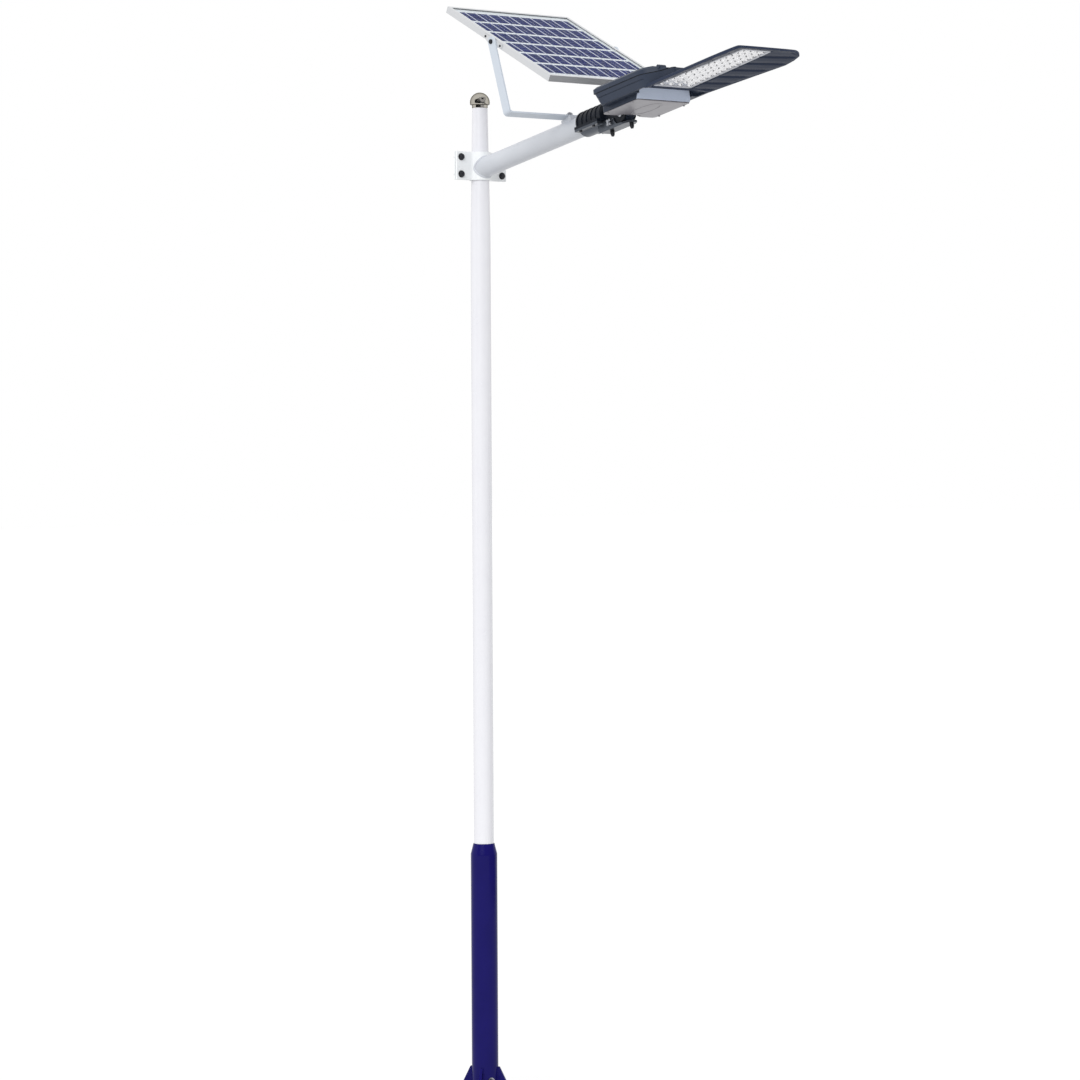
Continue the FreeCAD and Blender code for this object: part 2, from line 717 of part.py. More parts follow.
glass_x = panel_length / 2 - rail_wall - glass_side_gap
glass_y = half_panel - rail_wall - glass_side_gap
write("panel_glass", placed(block(-glass_x, glass_x, -glass_y, glass_y, glass_low, lip_under), panel_frame))
write("back_sheet", placed(block(-glass_x, glass_x, -glass_y, glass_y, sheet_low, sheet_high), panel_frame))
cells = []
ribbons = []
for column in range(cell_columns):
    y = (column - (cell_columns - 1) / 2) * column_pitch
    for row in range(cell_rows):
        x = (row - (cell_rows - 1) / 2) * row_pitch
        cells.append(block(x - cell_depth / 2, x + cell_depth / 2, y - cell_size / 2, y + cell_size / 2,
                           sheet_high, sheet_high + cell_thickness))
    for k in range(ribbons_per_cell):
        middle = y + (k - (ribbons_per_cell - 1) / 2) * cell_size / ribbons_per_cell
        span = cell_rows * row_pitch / 2
        ribbons.append(block(-span, span, middle - ribbon_width / 2, middle + ribbon_width / 2,
                             sheet_high + cell_thickness, glass_low))
write("solar_cells", *[placed(piece, panel_frame) for piece in cells])
write("cell_ribbons", *[placed(piece, panel_frame) for piece in ribbons])

lugs = []
lug_screws = []
lug_half = lug_length / 2
lug_low = -half_rail - lug_drop
lug_shoulder = -half_rail + lug_drop
lug_high = half_rail - lug_top
lug_outer = half_panel + lug_thickness
tilt_side = Vector(-tilt_back, -panel_width, -tilt_drop)
tilt_hole = cylinder(tilt_bolt_dia / 2 + running, panel_width * 2, tilt_side, across)
lug_shape = [(-tilt_back - lug_half, lug_shoulder), (-tilt_back - strip_half, lug_low),
             (-tilt_back + strip_half, lug_low), (-tilt_back + lug_half, lug_shoulder),
             (-tilt_back + lug_half, lug_high), (-tilt_back - lug_half, lug_high)]
for side, rail_index in ((1, 0), (-1, 1)):
    y0, y1 = sorted((side * half_panel, side * lug_outer))
    lug = side_prism(lug_shape, y0, y1).cut(tilt_hole)
    side_rails[rail_index] = side_rails[rail_index].cut(tilt_hole)
    inwards = Vector(0, -side, 0)
    for end in (-1, 1):
        start = Vector(-tilt_back + end * (lug_half - lug_screw_inset), side * lug_outer, -lug_screw_level)
        length = lug_thickness + rail_wall + lug_screw_end
        hole = Part.makeCylinder(lug_screw_dia / 2, length, start, inwards)
        lug = lug.cut(hole)
        side_rails[rail_index] = side_rails[rail_index].cut(hole)
        lug_screws.append(bolt(start, inwards, lug_screw_dia, length, lug_screw_head, lug_screw_dia / 2))
    lugs.append(lug)
write("frame_side_rails", *[placed(piece, panel_frame) for piece in side_rails])
write("panel_lugs", *[placed(piece, panel_frame) for piece in lugs])
write("lug_screws", *[placed(piece, panel_frame) for piece in lug_screws])

junction_x0 = -box_back - box_length / 2
junction_x1 = -box_back + box_length / 2
junction_low = sheet_low - box_height
junction = block(junction_x0, junction_x1, -box_width / 2, box_width / 2, junction_low, sheet_low)
junction = junction.cut(block(junction_x0 + box_wall, junction_x1 - box_wall, -box_width / 2 + box_wall,
                              box_width / 2 - box_wall, junction_low, sheet_low - box_wall))


def gland(base, axis, wall):
    """A cable gland: thread through the wall behind the base, hexagon, domed cap."""
    nose = base + axis * (gland_length / 3)
    solid = cylinder(gland_thread / 2, wall, base - axis * wall, axis)
    solid = solid.fuse(hexagon(gland_across, gland_length / 3, base, axis))
    cap = Part.makeCone(gland_cap_dia / 2, gland_mouth_dia / 2, gland_length * 2 / 3, nose, axis)
    solid = solid.fuse(cap)
    return solid.cut(cylinder(gland_bore / 2, wall + gland_length, base - axis * wall, axis))


glands = []
gland_z = junction_low + box_height / 2
for side in (-1, 1):
    base = Vector(junction_x1, side * box_width / 4, gland_z)
    junction = junction.cut(cylinder(gland_thread / 2, box_wall, base - along * box_wall, along))
    glands.append(gland(base, along, box_wall))
write("junction_box", placed(junction, panel_frame))
junction_lid = block(junction_x0, junction_x1, -box_width / 2, box_width / 2,
                     junction_low - box_wall, junction_low)
write("junction_lid", placed(junction_lid, panel_frame))
write("junction_glands", *[placed(piece, panel_frame) for piece in glands])

# ---- spigot adaptor -------------------------------------------------------------------------

barrel_start = arm_length - barrel_grip
barrel_inner = arm_radius + fit_clearance
barrel_outer = barrel_inner + barrel_wall
barrel_stop = barrel_start + barrel_length
tube_stop = barrel_stop - barrel_end
flange_half = barrel_outer + flange_out
ear_inner = knuckle_half + knuckle_gap
ear_outer = ear_inner + ear_thickness
knuckle_reach = arm_length + knuckle_stand
knuckle = Vector(knuckle_reach, 0, -knuckle_drop)
cradle_front = knuckle_reach + cradle_nose
cheek_inner = ear_outer + cheek_gap
cheek_outer = cheek_inner + cheek_thickness
cradle_low = -cradle_drop
cradle_high = cradle_low + cradle_plate
joint_low = -split_drop - split_gap
bore = cylinder(barrel_inner, barrel_length - barrel_end, Vector(barrel_start, 0, 0), along)
pin_bore = cylinder(pin_dia / 2, ear_outer * 2, knuckle - across * ear_outer, across)
star_reach = arm_length + star_stand
star_axis = Vector(star_reach, 0, -star_drop)
star_bore = cylinder(cradle_bolt_dia / 2, cheek_outer * 2, star_axis - across * cheek_outer, across)

barrel = cylinder(barrel_outer, barrel_length, Vector(barrel_start, 0, 0), along)
for k in range(ring_count):
    start = barrel_start + (barrel_length - ring_width) * k / (ring_count - 1)
    barrel = barrel.fuse(cylinder(barrel_outer + ring_height, ring_width, Vector(start, 0, 0), along))
barrel = barrel.common(block(barrel_start, barrel_stop, -flange_half, flange_half, -split_drop, flange_half))
barrel = barrel.fuse(block(barrel_start, tube_stop, -flange_half, flange_half, -split_drop,
                           -split_drop + flange_thickness))
barrel = barrel.cut(bore)
ear_points = [(tube_stop, cradle_high + ring_height), (tube_stop, arm_radius / 2),
              (knuckle_reach, -knuckle_drop + ear_radius), (knuckle_reach, -knuckle_drop - ear_radius)]
for side in (-1, 1):
    y0, y1 = sorted((side * ear_inner, side * ear_outer))
    ear = side_prism(ear_points, y0, y1)
    ear = ear.fuse(cylinder(ear_radius, ear_thickness, Vector(knuckle_reach, y0, -knuckle_drop), across))
    barrel = barrel.fuse(ear)
barrel = barrel.cut(pin_bore).cut(star_bore)

trough_stop = tube_stop - flat_gap
slab_start = tube_stop - cradle_tail
trough = cylinder(barrel_outer, barrel_length, Vector(barrel_start, 0, 0), along)
trough = trough.fuse(block(barrel_start, tube_stop, -flange_half, flange_half, joint_low - flange_thickness,
                           joint_low))
trough = trough.common(block(barrel_start, trough_stop, -flange_half, flange_half, -barrel_outer, joint_low))
relief = cylinder(cheek_relief, cheek_outer * 2, knuckle - across * cheek_outer, across)
slab = block(slab_start, cradle_front, -cheek_outer, cheek_outer, cradle_low, cradle_high)
web_points = [(slab_start, -arm_radius), (trough_stop, -arm_radius), (trough_stop, cradle_high),
              (slab_start, cradle_high)]
cradle = trough.fuse(side_prism(web_points, -ear_inner, ear_inner))
cheek_crest = knuckle_reach - cheek_relief + cheek_thickness
cheek_points = [(trough_stop, joint_low), (star_reach, -cheek_top), (cheek_crest, -cheek_top),
                (knuckle_reach, cradle_high + cradle_plate),
                (cradle_front - cradle_plate, cradle_high + flat_gap), (cradle_front, cradle_low),
                (slab_start, cradle_low), (slab_start, joint_low - flange_thickness)]
for side in (-1, 1):
    y0, y1 = sorted((side * cheek_inner, side * cheek_outer))
    slab = slab.fuse(side_prism(cheek_points, y0, y1).cut(relief))
cradle_half = cheek_outer - cradle_bevel
bevel_top = cradle_low + cradle_bevel
bevelled = across_prism([(-cheek_outer, 0), (-cheek_outer, bevel_top), (-cradle_half, cradle_low),
                         (cradle_half, cradle_low), (cheek_outer, bevel_top), (cheek_outer, 0)],
                        slab_start, cradle_front)
cradle_plan = mirrored([(slab_start, cheek_outer), (knuckle_reach, cheek_outer),
                        (cradle_front, cradle_nose_half)])
nose_radii = [0, cradle_nose, cradle_bevel]
tapered = prism(cradle_plan, nose_radii + nose_radii[::-1], cradle_low, 0)
cradle = cradle.fuse(slab.common(bevelled).common(tapered))
cradle = cradle.cut(star_bore).cut(bore)

flange_screws = []
screw_length = flange_thickness * 2 + split_gap
for s in (barrel_start + flange_screw_inset, tube_stop - flange_screw_inset):
    for side in (-1, 1):
        base = Vector(s, side * (barrel_outer + flange_half) / 2, joint_low - flange_thickness)
        hole = cylinder(flange_screw_dia / 2, screw_length, base)
        barrel = barrel.cut(hole)
        cradle = cradle.cut(hole)
        flange_screws.append(bolt(base, Z_AXIS, flange_screw_dia, screw_length + flange_screw_end,
                                  flange_screw_head, flange_screw_dia))
cradle_bolts = []
for s in ((tube_stop * 3 + star_reach) / 4, cradle_front - cradle_nose_half):
    base = Vector(s, 0, cradle_low)
    cradle = cradle.cut(cylinder(cradle_bolt_dia / 2, cradle_plate, base))
    cradle_bolts.append(bolt(base, Z_AXIS, cradle_bolt_dia, cradle_plate, cradle_head_dia,
                             cradle_head_height))
write("spigot_barrel", placed(barrel, arm_frame))
write("spigot_cradle", placed(cradle, arm_frame))
write("flange_screws", *[placed(piece, arm_frame) for piece in flange_screws])
write("cradle_bolts", *[placed(piece, arm_frame) for piece in cradle_bolts])

pin_length = ear_outer * 2 + pin_nut_height + pin_end
pin = bolt(knuckle - across * ear_outer, across, pin_dia, pin_length, pin_head_dia, pin_head_height)
pin_nut = nut(knuckle + across * ear_outer, across, pin_nut_across, pin_nut_height, pin_dia)
write("knuckle_pin", placed(pin, arm_frame))
write("knuckle_nut", placed(pin_nut, arm_frame))
star_base = star_axis - across * cheek_outer
star_out = cheek_outer + star_thickness + star_end
star_bolt = bar(star_axis - across * star_out, star_axis + across * star_out, cradle_bolt_dia / 2)
star = cylinder(star_radius * 0.75, star_thickness, star_base, across * -1)
for k in range(4):
    turn = math.radians(45 + 90 * k)
    lobe = star_base + Vector(math.cos(turn), 0, math.sin(turn)) * star_radius * 0.8
    star = star.fuse(cylinder(star_radius * 0.42, star_thickness, lobe, across * -1))
far_nut = nut(star_axis + across * cheek_outer, across, star_nut_across, star_nut_height, cradle_bolt_dia)
write("star_bolt", placed(star_bolt, arm_frame))
write("star_nuts", placed(star.cut(star_bolt), arm_frame), placed(far_nut, arm_frame))

# ---- lamp head ------------------------------------------------------------------------------

# Head frame: parallel to the arm's, origin under the foot of the window.
head_origin = Vector(knuckle_reach + head_stand, 0, head_rise)
head_frame = Placement(arm_frame.multVec(head_origin), arm_turn)
knuckle_head = knuckle - head_origin
wing_under = -wing_droop
wing_over = wing_under + wing_rim
wing_fold = window_length + bezel_width + wing_fold_gap
wing_wide = wing_fold - wing_wide_back
wing_shoulder = wing_fold - wing_shoulder_back
wing_corner = wing_fold + wing_corner_out
wing_front = wing_fold + wing_front_length


def shell_outline(grow):
    """Plan of the rear housing, grown outwards; the sides draw in towards the wing."""
    return mirrored([(-body_rear - grow, body_half + grow), (shoulder, body_half + grow),
                     (nose_start, nose_half + grow), (nose_end, nose_tip_half + grow)])


def shell_loft(grow_low, low, grow_high, high):
    """The housing's plan drawn from one level to another, growing as it rises."""
    return Part.makeLoft([outline(shell_outline(grow_low), shell_radii, low),
                          outline(shell_outline(grow_high), shell_radii, high)], True, True)


shell_radii = [body_corner, shoulder_radius, waist_radius, nose_radius]
shell_radii = shell_radii + shell_radii[::-1]
inner_half = box_half - body_wall
room_front = -box_front_edge - step_thickness
body = shell_loft(-body_draft, body_bottom, 0, body_joint)
for side in (-1, 1):
    y0, y1 = sorted((side * (box_half + body_wall), side * (body_half - body_draft - body_wall)))
    body = body.cut(block(-body_rear + body_draft + body_wall, room_front, y0, y1,
                          body_bottom + body_wall, body_joint))
groove_low = groove_level - groove_width / 2
groove_high = groove_level + groove_width / 2
fraction = (body_joint - groove_level) / (body_joint - body_bottom)
groove = prism(shell_outline(body_wall), shell_radii, groove_low, groove_high)
groove_floor = shell_outline(-body_draft * fraction - groove_depth)
groove = groove.cut(prism(groove_floor, shell_radii, groove_low, groove_high))
groove = groove.common(block(-box_rear, shoulder, -body_half * 2, body_half * 2, groove_low, groove_high))
body = body.cut(groove)
box_plan = [(-box_rear, -box_half), (room_front, -box_half), (room_front, box_half), (-box_rear, box_half)]
box_roof = body_bottom + body_wall
box_walls = prism(box_plan, [cover_rear_radius, 0, 0, cover_rear_radius], box_floor, box_roof)
bay_front = bay_depth - box_rear
knuckle_root = block(knuckle_head.x, bay_front, -knuckle_half, knuckle_half,
                     knuckle_head.z - knuckle_fall, knuckle_head.z + knuckle_rise)
knuckle_side = knuckle_head - across * knuckle_half
knuckle_boss = cylinder(knuckle_radius, knuckle_half * 2, knuckle_side, across)
knuckle_bore = cylinder(pin_dia / 2 + running, knuckle_half * 2, knuckle_side, across)
body = body.fuse(box_walls.cut(block(-box_rear, bay_front, -bay_half, bay_half, box_floor, box_roof)))
write("tilt_knuckle", placed(knuckle_boss.fuse(knuckle_root).cut(knuckle_bore), head_frame))
room_rear = -body_rear + body_draft + body_wall
body = body.cut(block(room_rear, room_front, -inner_half, inner_half, box_floor, body_joint))
box_rooms = []
for side in (-1, 1):
    y0, y1 = sorted((side * (bay_half + body_wall), side * inner_half))
    box_rooms.append(block(body_wall - box_rear, room_rear, y0, y1, box_floor, body_bottom))
    body = body.cut(box_rooms[-1])
lean = [(room_front - step_lean, box_floor), (room_front, -step_gap), (-box_front_edge, -step_gap),
        (-box_front_edge, box_floor)]
body = body.cut(side_prism(lean, -box_half, box_half))
wing_room = across_prism([(-wing_limit, -body_half), (-wing_limit, wing_over), (-wing_top_flat, wing_crown),
                          (wing_top_flat, wing_crown), (wing_limit, wing_over), (wing_limit, -body_half)],
                         -box_front_edge, nose_end * 2)
gland_base = Vector(-body_rear, gland_side, gland_level)
gland_wall = body_draft + body_wall


def wing_outline(grow):
    return mirrored([(-box_front_edge, wing_rear_half + grow), (wing_wide, wing_wide_half + grow),
                     (wing_shoulder, wing_tip_half + grow), (wing_corner + grow, wing_corner_half + grow),
                     (wing_front + grow, wing_nose_half)])


wing_radii = [4, 60, 26, 18, 80]
wing_radii = wing_radii + wing_radii[::-1]
body = body.cut(wing_room.common(prism(wing_outline(step_gap), wing_radii, -body_half, wing_seat)))
body = body.fuse(cylinder(gland_pad / 2, gland_wall, gland_base, along))
body = body.cut(cylinder(gland_thread / 2, gland_wall, gland_base, along))
body = max(body.Solids, key=lambda solid: solid.Volume)
write("housing_body", placed(body, head_frame))

lid_low = body_joint + gasket_thickness
gasket = prism(shell_outline(-fit_clearance), shell_radii, body_joint, lid_low)
gasket = gasket.cut(prism(shell_outline(-body_wall), shell_radii, body_joint, lid_low))
write("lid_gasket", placed(gasket, head_frame))

lid_shoulder = lid_top - lid_edge
lid = prism(shell_outline(lid_overhang), shell_radii, lid_low, lid_shoulder)
lid = lid.fuse(shell_loft(lid_overhang, lid_shoulder, lid_overhang - lid_bevel, lid_top))
hump_low = outline(mirrored([(-hump_rear, hump_rear_half), (-hump_front, hump_front_half)]),
                   [hump_radius] * 4, lid_shoulder)
hump_top = outline(mirrored([(-hump_rear + hump_bevel, hump_rear_half - hump_bevel),
                             (-hump_front - hump_bevel, hump_front_half - hump_bevel)]),
                   [hump_radius - hump_bevel] * 4,
                   lid_top + hump_height)
lid = lid.fuse(Part.makeLoft([hump_low, hump_top], True, True))
lid_ceiling = lid_top - lid_wall
lid_room = prism(shell_outline(-lid_wall), shell_radii, lid_low, lid_ceiling)
lid = lid.cut(lid_room.common(block(-body_rear, shoulder, -body_half, body_half, lid_low, lid_ceiling)))
slope = [(slope_start, lid_top), (nose_end, slope_low), (nose_end * 2, slope_low),
         (nose_end * 2, lid_top * 2), (slope_start, lid_top * 2)]
lid = lid.cut(side_prism(slope, -body_half * 2, body_half * 2))
for k in range(fin_count):
    fin_y = (k - (fin_count - 1) / 2) * fin_pitch
    lid = lid.cut(block(-hump_rear + hump_bevel * 2, -hump_front - hump_bevel * 2, fin_y - fin_slot / 2,
                        fin_y + fin_slot / 2, lid_top + hump_height - fin_depth, lid_top + hump_height))
for side in (-1, 1):
    middle = side * hinge_side
    hinge_end = Vector(hinge_reach, middle - hinge_length / 2, lid_shoulder)
    lid = lid.fuse(cylinder(hinge_radius, hinge_length, hinge_end, across))
write("housing_lid", placed(lid, head_frame))


def wing_section(crown, drop):
    """The wing across the arm: flat in the middle, drooping to both rims."""
    half = [(wing_top_flat, crown), (wing_limit, wing_over), (wing_limit, wing_under), (wing_flat, 0)]
    points = half + [(-y, z) for y, z in reversed(half)]
    return across_prism([(y, z - drop) for y, z in points], -box_front_edge, wing_front)


wing = wing_section(wing_crown, 0).common(prism(wing_outline(0), wing_radii, -body_half, body_half))
crown = [(-box_front_edge, wing_seat), (nose_end, wing_seat), (nose_end, wing_crown),
         (wing_fold, wing_tip_crown),
         (wing_front, wing_tip_crown - wing_nose_drop), (wing_front, wing_crown * 2),
         (-box_front_edge, wing_crown * 2)]
wing = wing.cut(side_prism(crown, -wing_limit, wing_limit))
nose = side_prism([(wing_fold, 0), (wing_front, -wing_nose_drop),
                   (wing_front, wing_tip_crown - wing_nose_drop), (wing_fold, wing_tip_crown)],
                  -wing_limit, wing_limit)
nose = nose.common(prism(wing_outline(0), wing_radii, -body_half, body_half))
below = across_prism([(wing_top_flat, wing_crown), (wing_limit, wing_over), (wing_limit, -body_half),
                      (-wing_limit, -body_half), (-wing_limit, wing_over), (-wing_top_flat, wing_crown)],
                     wing_fold, wing_front)
wing = wing.fuse(nose.common(below))


def spine_section(x, half, top):
    points = [Vector(x, -half, rib_height), Vector(x, half, rib_height), Vector(x, half - spine_draft, top),
              Vector(x, spine_draft - half, top)]
    return Part.makePolygon(points + [points[0]])


spine_stop = nose_end + spine_length
spine = Part.makeLoft([spine_section(nose_end, spine_rear_half, slope_low + flat_gap),
                       spine_section(spine_stop, spine_front_half, wing_tip_crown + 1)], True, True)
wing = wing.fuse(spine)


def window(grow, low, high):
    """The window's plan, grown outwards, as a prism."""
    points = [(-grow, window_rear_half + grow), (window_length + grow, window_tip_half + grow),
              (window_length + grow, -window_tip_half - grow), (-grow, -window_rear_half - grow)]
    return prism(points, [max(0.5, window_corner + grow)] * 4, low, high)


def window_half(x):
    return window_rear_half + (window_tip_half - window_rear_half) * x / window_length


wing = wing.cut(window(0, 0, window_depth)).cut(window(bezel_width + step_gap, -body_half, 0))
rib_turn = math.tan(math.radians(rib_sweep))
rib_root = window_tip_half + bezel_width
rib_reach = wing_limit - rib_root
rib_plan = prism(wing_outline(-rib_inset), wing_radii, -body_half, body_half)
rib_plan = rib_plan.common(block(-box_front_edge, wing_fold, -wing_limit, wing_limit, -body_half, body_half))
ribs = wing_section(rib_height * 2, rib_height).common(rib_plan)
ribs = ribs.cut(window(bezel_width + flat_gap, -body_half, body_half))
for side in (-1, 1):
    for k in range(rib_count):
        root = rib_start + k * rib_pitch
        end = root + rib_reach * rib_turn
        plan = [(root, side * rib_root), (root + rib_width, side * rib_root),
                (end + rib_width, side * wing_limit), (end, side * wing_limit)]
        wing = wing.fuse(prism(plan, [0] * 4, -body_half, body_half).common(ribs))
write("wing_casting", placed(wing, head_frame))

board_low = window_depth - board_thickness
write("led_board", placed(window(-1, board_low, window_depth), head_frame))
gasket_ring = window(-0.5, lens_thickness, board_low).cut(window(-seal_width, lens_thickness, board_low))
write("lens_gasket", placed(gasket_ring, head_frame))
lens = window(-0.5, 0, lens_thickness)
chips = []
lens_pitch = (window_length - lens_end_margin * 2) / (lens_rows - 1)
cap_radius = (lens_radius ** 2 + lens_height ** 2) / (2 * lens_height)
chip_half = chip_size / 2
for row in range(lens_rows):
    x = lens_end_margin + row * lens_pitch
    for column in range(lens_columns):
        y = (window_half(x) - lens_margin) * (2 * column / (lens_columns - 1) - 1)
        bead = Part.makeSphere(cap_radius, Vector(x, y, cap_radius - lens_height))
        lens = lens.fuse(bead.common(block(x - lens_radius, x + lens_radius, y - lens_radius,
                                           y + lens_radius, -lens_height, lens_thickness / 2)))
        chips.append(block(x - chip_half, x + chip_half, y - chip_half, y + chip_half,
                           board_low - chip_height, board_low))
write("lens_plate", placed(lens, head_frame))
write("led_chips", *[placed(piece, head_frame) for piece in chips])
bezel = window(bezel_width, -bezel_height, 0).cut(window(-bezel_lip, -bezel_height, 0))
bezel_screws = []
for k in range(bezel_screw_rows):
    x = window_length * (k + 0.5) / bezel_screw_rows
    for side in (-1, 1):
        place = Vector(x, side * (window_half(x) + bezel_width / 2), -bezel_height)
        bezel = bezel.cut(cylinder(bezel_screw_dia / 2, bezel_height, place))
        bezel_screws.append(bolt(place, Z_AXIS, bezel_screw_dia, bezel_height, bezel_screw_head,
                                 bezel_screw_dia / 2))
bezel = bezel.cut(lens)
write("lens_frame", placed(bezel, head_frame))
write("lens_screws", *[placed(piece, head_frame) for piece in bezel_screws])

step_shape = [(room_front - step_lean, box_floor), (-box_front_edge - step_lean, box_floor),
              (-box_front_edge, -step_gap), (room_front, -step_gap)]
step_plan = mirrored([(-box_rear, box_half), (-box_front_edge - step_chamfer, box_half),
                      (-box_front_edge, box_half - step_chamfer)])
step = side_prism(step_shape, -box_half, box_half).common(prism(step_plan, [0] * 6, box_floor, 0))
write("step_plate", placed(step.cut(body), head_frame))

cover_front = -box_front_edge - step_lean
cover_points = [(-box_rear, -box_half), (cover_front, -box_half), (cover_front, box_half),
                (-box_rear, box_half)]
cover_radii = [cover_rear_radius, cover_front_radius, cover_front_radius, cover_rear_radius]
cover_high = box_floor - cover_seal_thickness
cover_low = cover_high - cover_thickness
cover = prism(cover_points, cover_radii, cover_low, cover_high)
bay = block(-box_rear, bay_front, -bay_half, bay_half, cover_low, box_floor)
cover = cover.cut(bay)
cover_middle = (cover_front - box_rear) / 2


def oval(inset):
    middle = Vector(cover_middle, 0, cover_low - oval_height)
    ellipse = Part.Ellipse(middle, oval_long - inset, oval_short - inset)
    face = Part.Face(Part.Wire([ellipse.toShape()]))
    return face.extrude(Vector(0, 0, oval_height))


cover = cover.fuse(oval(0).cut(oval(oval_width)))
seal = prism(cover_points, cover_radii, cover_high, box_floor)
seal = seal.cut(block(room_rear, room_front - step_lean, -inner_half, inner_half, cover_high, box_floor))
seal = seal.cut(bay)
cover_screws = []
for x in (cover_screw_inset - box_rear, cover_front - cover_screw_inset):
    for side in (-1, 1):
        place = Vector(x, side * (box_half - body_wall / 2), cover_low)
        hole = cylinder(cover_screw_dia / 2, cover_thickness + cover_seal_thickness, place)
        cover = cover.cut(hole)
        seal = seal.cut(hole)
        cover_screws.append(bolt(place, Z_AXIS, cover_screw_dia, cover_thickness + cover_seal_thickness,
                                 cover_screw_head, cover_screw_dia / 2))
write("battery_cover", placed(cover, head_frame))
write("cover_seal", placed(seal, head_frame))
write("cover_screws", *[placed(piece, head_frame) for piece in cover_screws])

battery_radius = battery_dia / 2
battery_floor = box_floor + holder_plate
room_middle = (room_rear + room_front - step_lean) / 2
batteries = []
for row in range(battery_rows):
    x = room_middle + (row - (battery_rows - 1) / 2) * (battery_dia + battery_gap)
    for start in (-battery_length - battery_gap / 2, battery_gap / 2):
        end = Vector(x, start, battery_floor + battery_radius)
        batteries.append(cylinder(battery_radius, battery_length, end, across))
write("battery_cells", *[placed(piece, head_frame) for piece in batteries])
holder = block(room_rear, room_front - step_lean, -holder_width / 2, holder_width / 2,
               cover_high, battery_floor)
write("battery_holder", placed(holder, head_frame))
controller = block(room_middle - controller_length / 2, room_middle + controller_length / 2,
                   -controller_width / 2, controller_width / 2,
                   lid_ceiling - controller_height, lid_ceiling)
write("controller_case", placed(controller, head_frame))
write("cable_gland", placed(gland(gland_base, along * -1, gland_wall), head_frame))
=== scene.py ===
import json
import math

import bmesh
import bpy
import numpy as np
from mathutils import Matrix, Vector


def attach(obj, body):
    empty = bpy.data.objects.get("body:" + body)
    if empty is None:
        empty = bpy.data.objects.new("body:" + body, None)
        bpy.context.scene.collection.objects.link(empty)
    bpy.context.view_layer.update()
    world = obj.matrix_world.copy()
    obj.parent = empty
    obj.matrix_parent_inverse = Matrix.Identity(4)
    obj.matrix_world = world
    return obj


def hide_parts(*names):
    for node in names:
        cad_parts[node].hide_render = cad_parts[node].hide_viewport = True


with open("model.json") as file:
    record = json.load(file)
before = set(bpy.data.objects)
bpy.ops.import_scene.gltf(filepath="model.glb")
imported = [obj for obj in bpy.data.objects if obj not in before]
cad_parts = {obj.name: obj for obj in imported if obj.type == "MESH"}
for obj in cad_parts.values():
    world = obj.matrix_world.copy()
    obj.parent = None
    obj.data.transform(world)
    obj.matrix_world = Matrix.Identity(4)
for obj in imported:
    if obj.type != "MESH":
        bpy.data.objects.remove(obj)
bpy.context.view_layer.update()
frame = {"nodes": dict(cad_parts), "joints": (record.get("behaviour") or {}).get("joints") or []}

# ---- Base plate ----------------------------------------------------------------------------
# A 14 mm steel plate, flame cut, with four anchor holes. It is welded to the sleeve and the
# gussets, and the three are stoved together in blue gloss enamel.

MM = 0.001


def linear(code):
    """Linear colour of an sRGB hex code: below 0.04045 over 12.92, above it the 2.4 power curve."""
    srgb = np.array([int(code[i:i + 2], 16) for i in (1, 3, 5)]) / 255
    curve = np.where(srgb <= 0.04045, srgb / 12.92, ((srgb + 0.055) / 1.055) ** 2.4)
    return (*curve.tolist(), 1.0)


def add_node(material, kind, inputs=None, **settings):
    """Adds a shader node: settings are its own, inputs are values or the nodes that feed it."""
    made = material.node_tree.nodes.new("ShaderNode" + kind)
    for name, value in settings.items():
        setattr(made, name, value)
    for name, value in (inputs or {}).items():
        socket = next(s for s in made.inputs if s.enabled and s.name == name)
        if isinstance(value, bpy.types.Node):
            value = next(s for s in value.outputs if s.enabled)
        if isinstance(value, bpy.types.NodeSocket):
            material.node_tree.links.new(value, socket)
        else:
            socket.default_value = value
    return made


def new_material(name):
    """An empty material and its Object coordinates, in metres."""
    material = bpy.data.materials.new(name)
    material.use_nodes = True
    material.node_tree.nodes.clear()
    return material, add_node(material, "TexCoord").outputs["Object"]


def coated(name, colour, drift, roughness, grain, relief, metallic=0.0, specular=0.5, cloud=60.0):
    """A skin over metal or plastic. Its colour drifts between two shades in clouds of cloud mm, its
    roughness swings with them by 15 per cent, and bumps grain mm wide and relief mm high break it up."""
    material, place = new_material(name)
    clouds = add_node(material, "TexNoise", {"Vector": place, "Scale": 1 / (cloud * MM), "Detail": 4.0})
    peel = add_node(material, "TexNoise", {"Vector": place, "Scale": 1 / (grain * MM), "Detail": 2.0})
    tint = add_node(material, "Mix", {"Factor": clouds, "A": linear(colour), "B": linear(drift)},
                    data_type="RGBA")
    gloss = add_node(material, "MapRange", {"Value": clouds, "To Min": roughness * 0.85,
                                            "To Max": roughness * 1.15})
    bump = add_node(material, "Bump", {"Height": peel, "Distance": relief * MM})
    skin = add_node(material, "BsdfPrincipled", {
        "Base Color": tint, "Roughness": gloss, "Normal": bump, "Metallic": metallic,
        "Specular IOR Level": specular})
    add_node(material, "OutputMaterial", {"Surface": skin})
    return material


def finish_nodes(material, slot, *names):
    """Gives CAD nodes their material. The record's slot is not used."""
    for name in names:
        node = frame["nodes"][name]
        node.data.materials.clear()
        node.data.materials.append(material)


# Stoved gloss enamel: a deep blue that looks wet and flowed out in slow waves.
blue_enamel = coated("stoved_gloss_enamel_blue", "#1B1764", "#151255", roughness=0.14, grain=9.0,
                     relief=0.05, specular=0.08)
finish_nodes(blue_enamel, "sleeve_blue", "base_plate")

# ---- Sleeve --------------------------------------------------------------------------------
# A welded steel tube, 80 mm across, swaged to a cone that closes round the pole. The gussets
# are cut from plate and stand on the flange, with a fillet weld along every foot.

